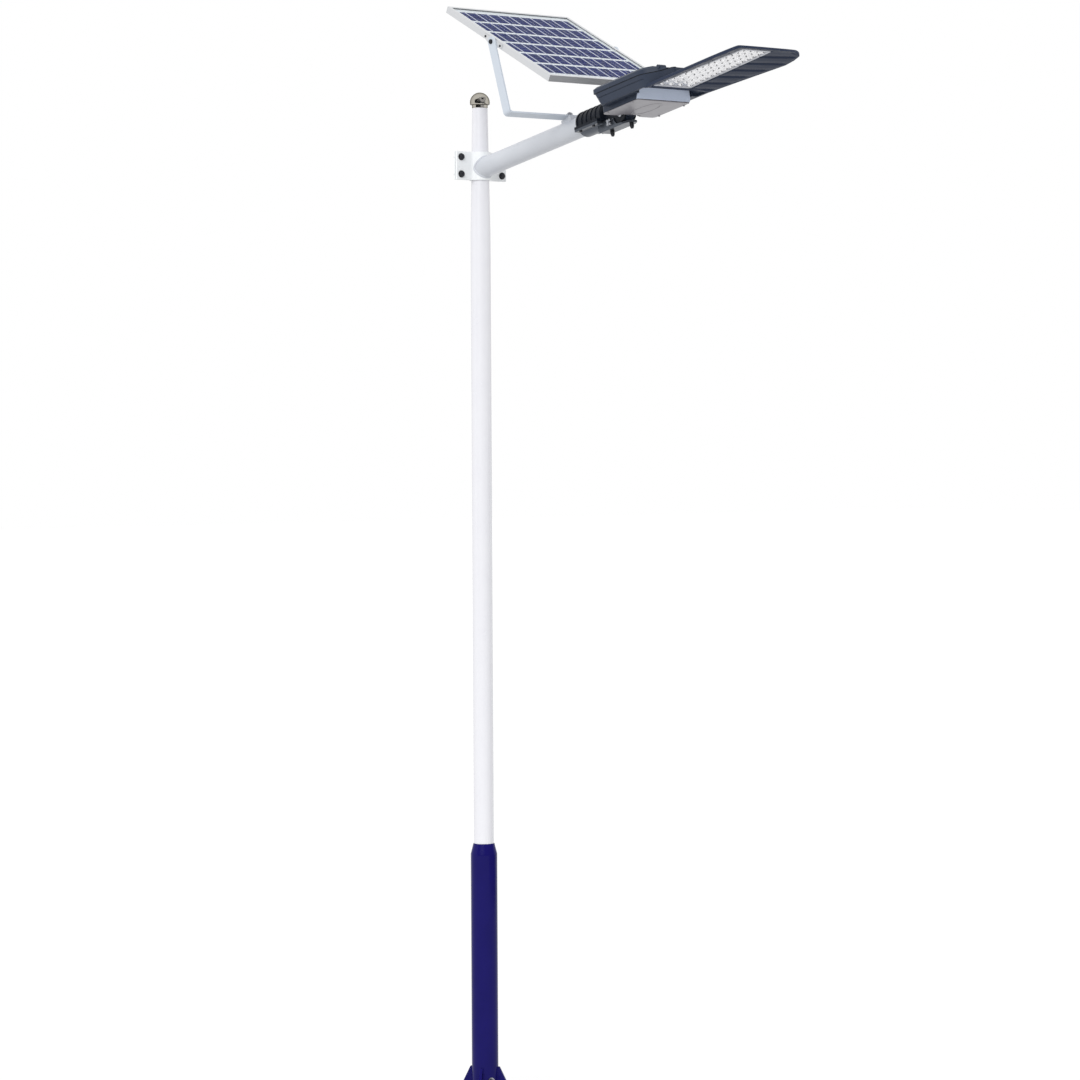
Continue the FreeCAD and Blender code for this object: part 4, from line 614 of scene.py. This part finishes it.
# PVC shrink wrap on the battery cells: a dark teal film, taut and a little glossy.
shrink_wrap = coated("pvc_shrink_wrap_teal", "#1A4D59", "#16424D", roughness=0.3, grain=2.0,
                     relief=0.01)
finish_nodes(shrink_wrap, "cell_wrap", "battery_cells")
# Moulded silicone seals: matt black with no sheen.
silicone = coated("silicone_seal_black", "#121212", "#1A1A1A", roughness=0.7, grain=1.5, relief=0.02)
finish_nodes(silicone, "seal_black", "lid_gasket", "lens_gasket", "cover_seal")

# ---- Wing ----------------------------------------------------------------------------------
# One long casting ahead of the housing, in the same paint a shade deeper. It droops to both sides
# and at its nose, and swept flutes run out under it from the window to a plain rim.

WINDOW_LONG, WINDOW_REAR_HALF, WINDOW_TIP_HALF = 359.0, 63.0, 47.0
WINDOW_DEPTH, WINDOW_CORNER, WINDOW_EDGE = 5.5, 4.0, 0.3
BEZEL_WIDE, BEZEL_LIP, BEZEL_HIGH, BEZEL_GAP = 5.5, 3.0, 2.5, 0.2
WING_FLAT, WING_TOP_FLAT, WING_LIMIT, WING_DROOP, WING_OVER = 56.0, 49.0, 145.0, 26.8, -18.3
WING_REAR, WING_ROOT, LID_SEAT, LID_END = -31.6, 50.0, 9.8, 112.0
CROWN, FOLD_CROWN, NOSE_LONG, NOSE_DROP = 12.0, 6.8, 51.0, 16.0
FOLD = WINDOW_LONG + BEZEL_WIDE + 1
WING_FRONT = FOLD + NOSE_LONG
REAR_HALF, SHOULDER_HALF, FOLD_HALF, CHEEK_HALF, NOSE_HALF = 114.0, 136.0, 131.0, 121.0, 60.0
SHOULDER_BACK, FOLD_BACK, CHEEK_AHEAD = 43.0, 2.0, 36.0
SPINE_REAR_HALF, SPINE_FRONT_HALF, SPINE_STOP, SPINE_DRAFT = 52.0, 30.0, 340.0, 8.0
SPINE_REAR_HIGH, SPINE_FRONT_HIGH, SPINE_SLOPE, SPINE_SUNK = 2.0, 0.9, 0.6, -20.0
FLUTE_PITCH, FLUTE_START, FLUTE_SLANT, FLUTE_DEEP = 66.0, -18.0, math.tan(math.radians(50)), 1.8
FLUTE_FADE_IN, FLUTE_FADE_OUT, FLUTE_LAND, FLUTE_END, PLAIN_RIM = 26.0, 8.0, 5.0, 4.0, 8.0
GROOVE_DEEP, GROOVE_HALF, GROOVE_BACK = 1.6, 3.5, 3.0
RIM_IN, RIM_CHAMFER, RIM_STEP, RIM_SIDE = 1.5, 0.4, 0.5, 1.6
WING_POINTS, UNDER_RINGS, OVER_RINGS, OVER_CROWDING, OVER_HUB = 560, 44, 26, 1.2, 9.0
SIDE_BLEND, NOSE_BLEND, CROWN_BLEND, SPINE_BLEND, CLOSE_POINTS = 1.0, 2.0, 1.5, 0.4, 6000

# The housing's satin paint, a shade deeper and duller on this casting.
wing_paint = coated("satin_paint_on_wing_deep_slate", "#2D374C", "#273045", roughness=0.42, grain=1.6,
                    relief=0.03, specular=0.14)


def on_head(points):
    """Points of the lamp head's own axes, whose origin is the middle of the window's rear edge,
    placed on the leaning head."""
    return placed(points, head_origin, ARM_LEAN)


def both_sides(half):
    """Closes a half outline, given from rear to front on the -Y side, over the X axis."""
    return half + [(x, -y) for x, y in reversed(half)]


def around(loop, centre, count):
    """The directions and distances from a centre of points spread evenly along an outline."""
    closed = np.vstack([loop, loop[:1]])
    even = np.linspace(0, run_along(closed)[-1], count, endpoint=False)
    ahead, across = (points_at(closed, even) - centre).T
    return np.arctan2(across, ahead), np.hypot(ahead, across)


def reach(loop, centre, angle):
    """How far an outline lies from a centre in each direction, between close points along it."""
    return np.interp(angle, *around(loop, centre, CLOSE_POINTS), period=2 * math.pi)


def window(grow):
    """The window's outline, grown outwards."""
    half = [(-grow, -WINDOW_REAR_HALF - grow), (WINDOW_LONG + grow, -WINDOW_TIP_HALF - grow)]
    return rounded(both_sides(half), [WINDOW_CORNER + grow] * 4)


def softer(a, b, blend):
    """The larger of two values, with the corner between them rounded off over blend."""
    return (a + b + np.sqrt((a - b) ** 2 + blend ** 2)) / 2


def wing_under(x, y):
    """Underside: the sides fall evenly past the flat middle, less so at the rear, where it is
    level over the step, and the nose falls past the fold."""
    droop = WING_DROOP * (np.abs(y) - WING_FLAT) / (WING_LIMIT - WING_FLAT)
    droop *= np.interp(x, [WING_REAR, WING_REAR + WING_ROOT], [0, 1])
    nose = NOSE_DROP * (x - FOLD) / NOSE_LONG
    return -softer(softer(droop, 0, SIDE_BLEND), nose, NOSE_BLEND)


def wing_over(x, y):
    """Top: the crown steps up at the lid's end, thins to the fold and falls to the nose. The sides
    fall to the rim, and a spine with sloping flanks narrows along the middle."""
    crown = np.interp(x, [LID_END - 1, LID_END, FOLD, WING_FRONT],
                      [LID_SEAT, CROWN, FOLD_CROWN, FOLD_CROWN - NOSE_DROP])
    fall = (CROWN - WING_OVER) * (np.abs(y) - WING_TOP_FLAT) / (WING_LIMIT - WING_TOP_FLAT)
    side = CROWN - fall * np.interp(x, [WING_REAR, WING_REAR + WING_ROOT], [0, 1])
    plain = -softer(-side, -crown, CROWN_BLEND)
    half = np.interp(x, [LID_END, SPINE_STOP], [SPINE_REAR_HALF, SPINE_FRONT_HALF])
    rise = np.interp(x, [LID_END - 1, LID_END, SPINE_STOP, SPINE_STOP + 1],
                     [SPINE_SUNK, SPINE_REAR_HIGH, SPINE_FRONT_HIGH, SPINE_SUNK])
    flank = SPINE_SLOPE * np.clip(np.abs(y) - half + SPINE_DRAFT, 0, None)
    return softer(plain, crown + rise - flank, SPINE_BLEND)


wing_middle = (180.0, 0.0)
wing_half = [(WING_REAR, -REAR_HALF), (FOLD - SHOULDER_BACK, -SHOULDER_HALF),
             (FOLD - FOLD_BACK, -FOLD_HALF), (FOLD + CHEEK_AHEAD, -CHEEK_HALF), (WING_FRONT, -NOSE_HALF)]
half_radii = [4, 60, 26, 18, 80]
wing_plan = rounded(both_sides(wing_half), half_radii + half_radii[::-1], 14)

# Rings round the wing's middle: four from the window's ceiling down its side to the bezel's seat,
# then out under the wing, four up the rim, and back in over the top, crowding near the rim.
angle = np.sort(around(wing_plan, wing_middle, WING_POINTS)[0])
rim = reach(wing_plan, wing_middle, angle)
hole = reach(window(0), wing_middle, angle)
seat = reach(window(BEZEL_WIDE + BEZEL_GAP), wing_middle, angle)
outward = np.linspace(0, 1, UNDER_RINGS)[:, None]
beyond = seat + WINDOW_EDGE + (rim - RIM_IN - seat - WINDOW_EDGE) * outward
inward = rim - RIM_IN - (rim - OVER_HUB) * np.linspace(0, 1, OVER_RINGS)[:, None] ** OVER_CROWDING
radii = np.vstack([hole, hole, hole + WINDOW_EDGE, seat, beyond,
                   rim - RIM_CHAMFER, rim, rim, rim - RIM_CHAMFER, inward])
x, y = wing_middle[0] + radii * np.cos(angle), radii * np.sin(angle)
under = slice(4, 4 + UNDER_RINGS)
edge = slice(under.stop, under.stop + 4)
over = slice(edge.stop, None)

# The flutes' phase runs along the wing and slants outwards. Each flute deepens, holds, and rises
# to a land with a groove beside it.
phase = np.mod(x - FLUTE_START - FLUTE_SLANT * (np.abs(y) - WING_FLAT), FLUTE_PITCH)[under]
from_seat, to_rim = beyond - seat, rim - PLAIN_RIM - beyond
shown = np.clip(from_seat / FLUTE_END, 0, 1) * np.clip(to_rim / FLUTE_END, 0, 1)
deepen = np.clip(phase / FLUTE_FADE_IN, 0, 1)
shallow = np.clip((FLUTE_PITCH - FLUTE_LAND - phase) / FLUTE_FADE_OUT, 0, 1)
groove = GROOVE_DEEP * np.clip(1 - np.abs(phase - FLUTE_PITCH + GROOVE_BACK) / GROOVE_HALF, 0, 1)

lower, upper = wing_under(x, y), wing_over(x, y)
z = np.full_like(x, WINDOW_DEPTH)
z[1:4] = [[WINDOW_EDGE], [0.0], [0.0]]
z[under] = lower[under] + shown * (groove - FLUTE_DEEP * deepen * shallow)
z[edge] = np.stack([lower[edge][0] + RIM_STEP, lower[edge][1] + RIM_SIDE,
                    upper[edge][2] - RIM_SIDE, upper[edge][3] - RIM_STEP])
z[over] = upper[over]
piece("wing_shell", [on_head(np.dstack([x, y, z]))], "head", wing_paint,
      ["wing_casting"])

# ---- Window --------------------------------------------------------------------------------
# A moulded frame holds a clear lens sheet over the LED board. The sheet has sixty domes, one
# over each LED, and the board under it is silvered.

LENS_THICK, LENS_HIGH, LENS_RADIUS, LENS_COLUMNS, LENS_ROWS = 2.5, 4.0, 6.5, 4, 15
LENS_MARGIN, LENS_END, LENS_FIT = 12.0, 15.0, 0.5
SHEET_ROWS, SHEET_COLUMNS, BACK_STEP = 300, 104, 13
BEZEL_OUTER_EDGE, BEZEL_INNER_EDGE = 0.8, 0.7

# Light grey moulding: smooth and semi-matt, as it left the tool.
pale_moulding = coated("moulded_frame_light_grey", "#D6D8DE", "#CED0D8", roughness=0.4, grain=1.2,
                       relief=0.01)
# How far each ring of the frame lies outside the window, and its level.
bezel = [(BEZEL_WIDE, 0), (BEZEL_WIDE, BEZEL_OUTER_EDGE - BEZEL_HIGH),
         (BEZEL_WIDE - BEZEL_OUTER_EDGE, -BEZEL_HIGH), (BEZEL_INNER_EDGE - BEZEL_LIP, -BEZEL_HIGH),
         (-BEZEL_LIP, BEZEL_INNER_EDGE - BEZEL_HIGH), (-BEZEL_LIP, -BEZEL_GAP), (BEZEL_WIDE, 0)]
opening = window(0)
frame_rings = np.stack([np.column_stack([inset(opening, -grow), np.full(len(opening), float(level))])
                        for grow, level in bezel])
piece("window_frame", [on_head(frame_rings)], "head", pale_moulding, ["lens_frame"])

# Clear polycarbonate with a satin skin: the silvering behind it shows through as a soft sheen.
lens, place = new_material("clear_polycarbonate_lens")
ripple = add_node(lens, "TexNoise", {"Vector": place, "Scale": 1 / (6 * MM), "Detail": 1.0})
bump = add_node(lens, "Bump", {"Height": ripple, "Distance": 0.05 * MM})
skin = add_node(lens, "BsdfPrincipled", {
    "Base Color": linear("#FBFBFD"), "Roughness": 0.25, "IOR": 1.3, "Metallic": 0.7,
    "Transmission Weight": 0.5, "Normal": bump})
add_node(lens, "OutputMaterial", {"Surface": skin})


def window_half(x):
    """Half the window's width, narrowing evenly to the front."""
    return WINDOW_REAR_HALF + (WINDOW_TIP_HALF - WINDOW_REAR_HALF) * x / WINDOW_LONG


# Each point of the sheet belongs to the nearest row and column of LEDs. A dome is the cap of a
# ball that is LENS_RADIUS wide and LENS_HIGH high over each, and the sheet is flat elsewhere.
x = np.linspace(LENS_FIT, WINDOW_LONG - LENS_FIT, SHEET_ROWS)[:, None]
y = np.linspace(-1, 1, SHEET_COLUMNS)[None, :] * (window_half(x) - LENS_FIT)
pitch = (WINDOW_LONG - 2 * LENS_END) / (LENS_ROWS - 1)
row_x = LENS_END + pitch * np.clip(np.round((x - LENS_END) / pitch), 0, LENS_ROWS - 1)
spread = window_half(row_x) - LENS_MARGIN
column = np.clip(np.round((y / spread + 1) / 2 * (LENS_COLUMNS - 1)), 0, LENS_COLUMNS - 1)
column_y = spread * (2 * column / (LENS_COLUMNS - 1) - 1)
dome_radius = (LENS_RADIUS ** 2 + LENS_HIGH ** 2) / (2 * LENS_HIGH)
away = np.minimum(np.hypot(x - row_x, y - column_y), dome_radius)
dome = np.clip(np.sqrt(dome_radius ** 2 - away ** 2) - dome_radius + LENS_HIGH, 0, None)
front = np.dstack([x + 0 * y, y, -dome])
back = np.dstack([x + 0 * y, y, 0 * dome + LENS_THICK])[:, ::-BACK_STEP]
sheet = piece("lens_sheet", [on_head(np.concatenate([front, back], 1))], "head", lens,
              ["lens_plate"])
sheet.visible_shadow = False

# Silvered film over the white board: a bright satin mirror that throws the light down.
reflector = coated("silvered_film_on_white_board", "#F4F5F7", "#EBECEF", roughness=0.35, grain=1.5,
                   relief=0.01, metallic=0.7)
finish_nodes(reflector, "board_white", "led_board")
# Phosphor over the LED dies: a matt, grainy yellow.
phosphor = coated("led_phosphor_yellow", "#EDD45A", "#E3C64C", roughness=0.5, grain=0.6, relief=0.02,
                  cloud=3.0)
finish_nodes(phosphor, "led_yellow", "led_chips")

# ---- Step and battery cover ----------------------------------------------------------------
# A pressed aluminium panel closes the battery box's front. The cover under the box is a grey
# moulding with a slight belly and a plain raised ring.

BOX_REAR, BOX_HALF, BOX_CORNER, COVER_CORNER = 203.0, 96.0, 12.0, 5.0
COVER_FRONT, COVER_HIGH, COVER_LOW = -44.0, -31.0, -33.2
BAY_FRONT, BAY_HALF, BAY_FLARE, BAY_CORNER = -189.0, 33.0, 7.0, 1.5
BELLY_LOW, BELLY_LONG, BELLY_WIDE = 0.8, 84.0, 100.0
RING_MIDDLE, RING_LONG, RING_SHORT = -123.5, 58.0, 28.0
RING_HIGH, RING_HALF, RING_FLANK, RING_EVEN = 1.0, 3.2, 1.2, 1.3
COVER_POINTS, COVER_RINGS, COVER_HUB, COVER_FACE = 360, 90, 0.02, 0.985

# Silver-blue satin paint: fine and even, with a little metal flake.
silver_paint = coated("satin_paint_silver_blue", "#D2DDF1", "#C9D4E9", roughness=0.38, grain=1.8,
                      relief=0.02, metallic=0.25)
finish_nodes(silver_paint, "step_silver", "step_plate")

# Grey semi-gloss moulding, a little warm, smooth from a polished tool.
grey_moulding = coated("moulded_cover_warm_grey", "#96949A", "#8E8C92", roughness=0.34, grain=1.2,
                       relief=0.01)
finish_nodes(grey_moulding, "bolt_black", "cover_screws")
cover_plan = rounded(
    [(-BOX_REAR, -BOX_HALF), (COVER_FRONT, -BOX_HALF), (COVER_FRONT, BOX_HALF), (-BOX_REAR, BOX_HALF),
     (-BOX_REAR, BAY_HALF + BAY_FLARE), (BAY_FRONT, BAY_HALF), (BAY_FRONT, -BAY_HALF),
     (-BOX_REAR, -BAY_HALF - BAY_FLARE)],
    [BOX_CORNER, COVER_CORNER, COVER_CORNER, BOX_CORNER, *[BAY_CORNER] * 4])

# Rings from the middle of the face out to its edge, then round the edge: how far each is drawn in,
# and its level. The last closes the back.
cover_middle = ((COVER_FRONT + BAY_FRONT) / 2, 0.0)
cover_edge = [(0.9, COVER_LOW + 0.12), (0.25, COVER_LOW + 0.5), (0, COVER_LOW + 1.1),
              (0, COVER_HIGH - 0.4), (0.4, COVER_HIGH)]
angle = np.sort(around(cover_plan, cover_middle, COVER_POINTS)[0])
rim = reach(cover_plan, cover_middle, angle)
inward = rim * np.linspace(COVER_HUB, COVER_FACE, COVER_RINGS)[:, None]
radii = np.vstack([inward, *[rim - drawn for drawn, _ in cover_edge], rim * COVER_HUB])
x, y = cover_middle[0] + radii * np.cos(angle), radii * np.sin(angle)

# The belly falls off as a square both ways. The raised ring is an oval band: its distance from the
# oval's line is the oval's own measure times its short half, evened out between its sides and ends.
belly = BELLY_LOW * (1 - ((x - cover_middle[0]) / BELLY_LONG) ** 2) * (1 - (y / BELLY_WIDE) ** 2)
off_ring = np.abs(np.hypot((x - RING_MIDDLE) / RING_LONG, y / RING_SHORT) - 1) * RING_SHORT * RING_EVEN
z = COVER_LOW - belly - RING_HIGH * np.clip((RING_HALF - off_ring) / RING_FLANK, 0, 1)
z[COVER_RINGS:] = np.array([*[level for _, level in cover_edge], COVER_HIGH])[:, None]
piece("cover_moulding", [on_head(np.dstack([x, y, z]))], "head", grey_moulding,
      ["battery_cover"])

# ---- Studio --------------------------------------------------------------------------------
# A pale floor and a white surround, one wide sun, black flags that only reflections see, and
# the camera. Sizes and places here are in metres, and the camera's turns are in degrees.

CAMERA_PLACE, CAMERA_TURN, CAMERA_PITCH, CAMERA_ROLL = (8.381, -6.328, 2.021), 52.0, -1.7, -0.29
LENS_MM, SENSOR_MM = 116.67, 36.0
SUN_PLACE, SUN_TARGET, SUN_WIDTH, SUN_POWER = (5.6, -7.4, 6.6), (0.4, 0, 2.4), math.radians(35), 1.32
FLOOR_HALF, FLOOR_GREY, FLOOR_GLOW, SKY_LIGHT = 60.0, 0.6, 0.4, 0.9


def background(owner, share, seen=1.0):
    """A strength that is seen for rays from the camera, gloss and glass, and share for others."""
    rays = add_node(owner, "LightPath")
    first = add_node(owner, "Math", {"Value": rays.outputs["Is Camera Ray"]}, operation="MAXIMUM")
    owner.node_tree.links.new(rays.outputs["Is Glossy Ray"], first.inputs[1])
    second = add_node(owner, "Math", {"Value": first}, operation="MAXIMUM")
    owner.node_tree.links.new(rays.outputs["Is Transmission Ray"], second.inputs[1])
    return add_node(owner, "MapRange", {"Value": second, "To Min": share, "To Max": seen})


def stage_sheet(name, corners, material):
    """A flat sheet of the studio between four corners, in metres."""
    mesh = bpy.data.meshes.new(name)
    mesh.from_pydata(corners, [], [(0, 1, 2, 3)])
    mesh.materials.append(material)
    sheet = bpy.data.objects.new(name, mesh)
    bpy.context.scene.collection.objects.link(sheet)
    return sheet


# Pale matt floor: it takes the lamp's shadow and glows where it is seen.
pale = new_material("pale_studio_floor")[0]
plain = add_node(pale, "BsdfDiffuse", {"Color": (FLOOR_GREY, FLOOR_GREY, FLOOR_GREY, 1)})
glow = add_node(pale, "Emission", {"Color": (1, 1, 1, 1), "Strength": background(pale, 0.0, FLOOR_GLOW)})
both = add_node(pale, "AddShader")
pale.node_tree.links.new(plain.outputs[0], both.inputs[0])
pale.node_tree.links.new(glow.outputs[0], both.inputs[1])
add_node(pale, "OutputMaterial", {"Surface": both})
stage_sheet("floor", [(x, y, 0) for x, y in rectangle(FLOOR_HALF, FLOOR_HALF)], pale)

# White surround, a little weaker as light than as it is seen.
world = bpy.data.worlds.new("studio")
world.use_nodes = True
bpy.context.scene.world = world
world.node_tree.nodes.clear()
sky = add_node(world, "Background", {"Color": (1, 1, 1, 1), "Strength": background(world, SKY_LIGHT)})
add_node(world, "OutputWorld", {"Surface": sky})

# Black velvet flags that only reflections see: they give the glass, chrome and enamel an edge.
velvet = new_material("black_velvet_flag")[0]
pile = add_node(velvet, "BsdfDiffuse", {"Color": (0.02, 0.02, 0.025, 1)})
add_node(velvet, "OutputMaterial", {"Surface": pile})


def flag(name, centre, target, half_wide, half_high):
    """A flag that faces a point: its sides run level and square to the line between them."""
    centre, toward = np.array(centre, float), unit(np.array(target, float) - centre)
    level = unit(np.cross(toward, [0, 0, 1]))
    rise = np.cross(level, toward)
    signs = np.array(rectangle(1, 1))
    corners = centre + signs[:, :1] * half_wide * level + signs[:, 1:] * half_high * rise
    sheet = stage_sheet(name, corners.tolist(), velvet)
    sheet.visible_camera = sheet.visible_diffuse = sheet.visible_shadow = False


flag("flag_under_panel", centre=(2.3, 1.85, 1.3), target=(0.62, 0, 3.03), half_wide=1.5, half_high=1.2)
flag("flag_behind_camera", centre=(9.6, -7.6, 5.0), target=(0, 0, 3.0), half_wide=22.0, half_high=9.0)

# One sun with a wide disc, turned to shine from its place on the upper part of the lamp.
sun = bpy.data.objects.new("key_lamp", bpy.data.lights.new("key_lamp", "SUN"))
bpy.context.scene.collection.objects.link(sun)
sun.data.angle, sun.data.energy = SUN_WIDTH, SUN_POWER
sun.location = SUN_PLACE
sun.rotation_mode = "QUATERNION"
sun.rotation_quaternion = (Vector(SUN_TARGET) - Vector(SUN_PLACE)).to_track_quat("-Z", "Y")

camera = bpy.data.objects.new("camera", bpy.data.cameras.new("camera"))
bpy.context.scene.collection.objects.link(camera)
camera.data.lens, camera.data.sensor_width = LENS_MM, SENSOR_MM
camera.data.clip_start, camera.data.clip_end = 0.1, 300
camera.location = CAMERA_PLACE
camera.rotation_euler = (math.radians(90 + CAMERA_PITCH), 0, math.radians(CAMERA_TURN))
camera.rotation_euler.rotate_axis("Z", math.radians(CAMERA_ROLL))
bpy.context.scene.camera = camera
bpy.context.scene.view_settings.view_transform = "Standard"
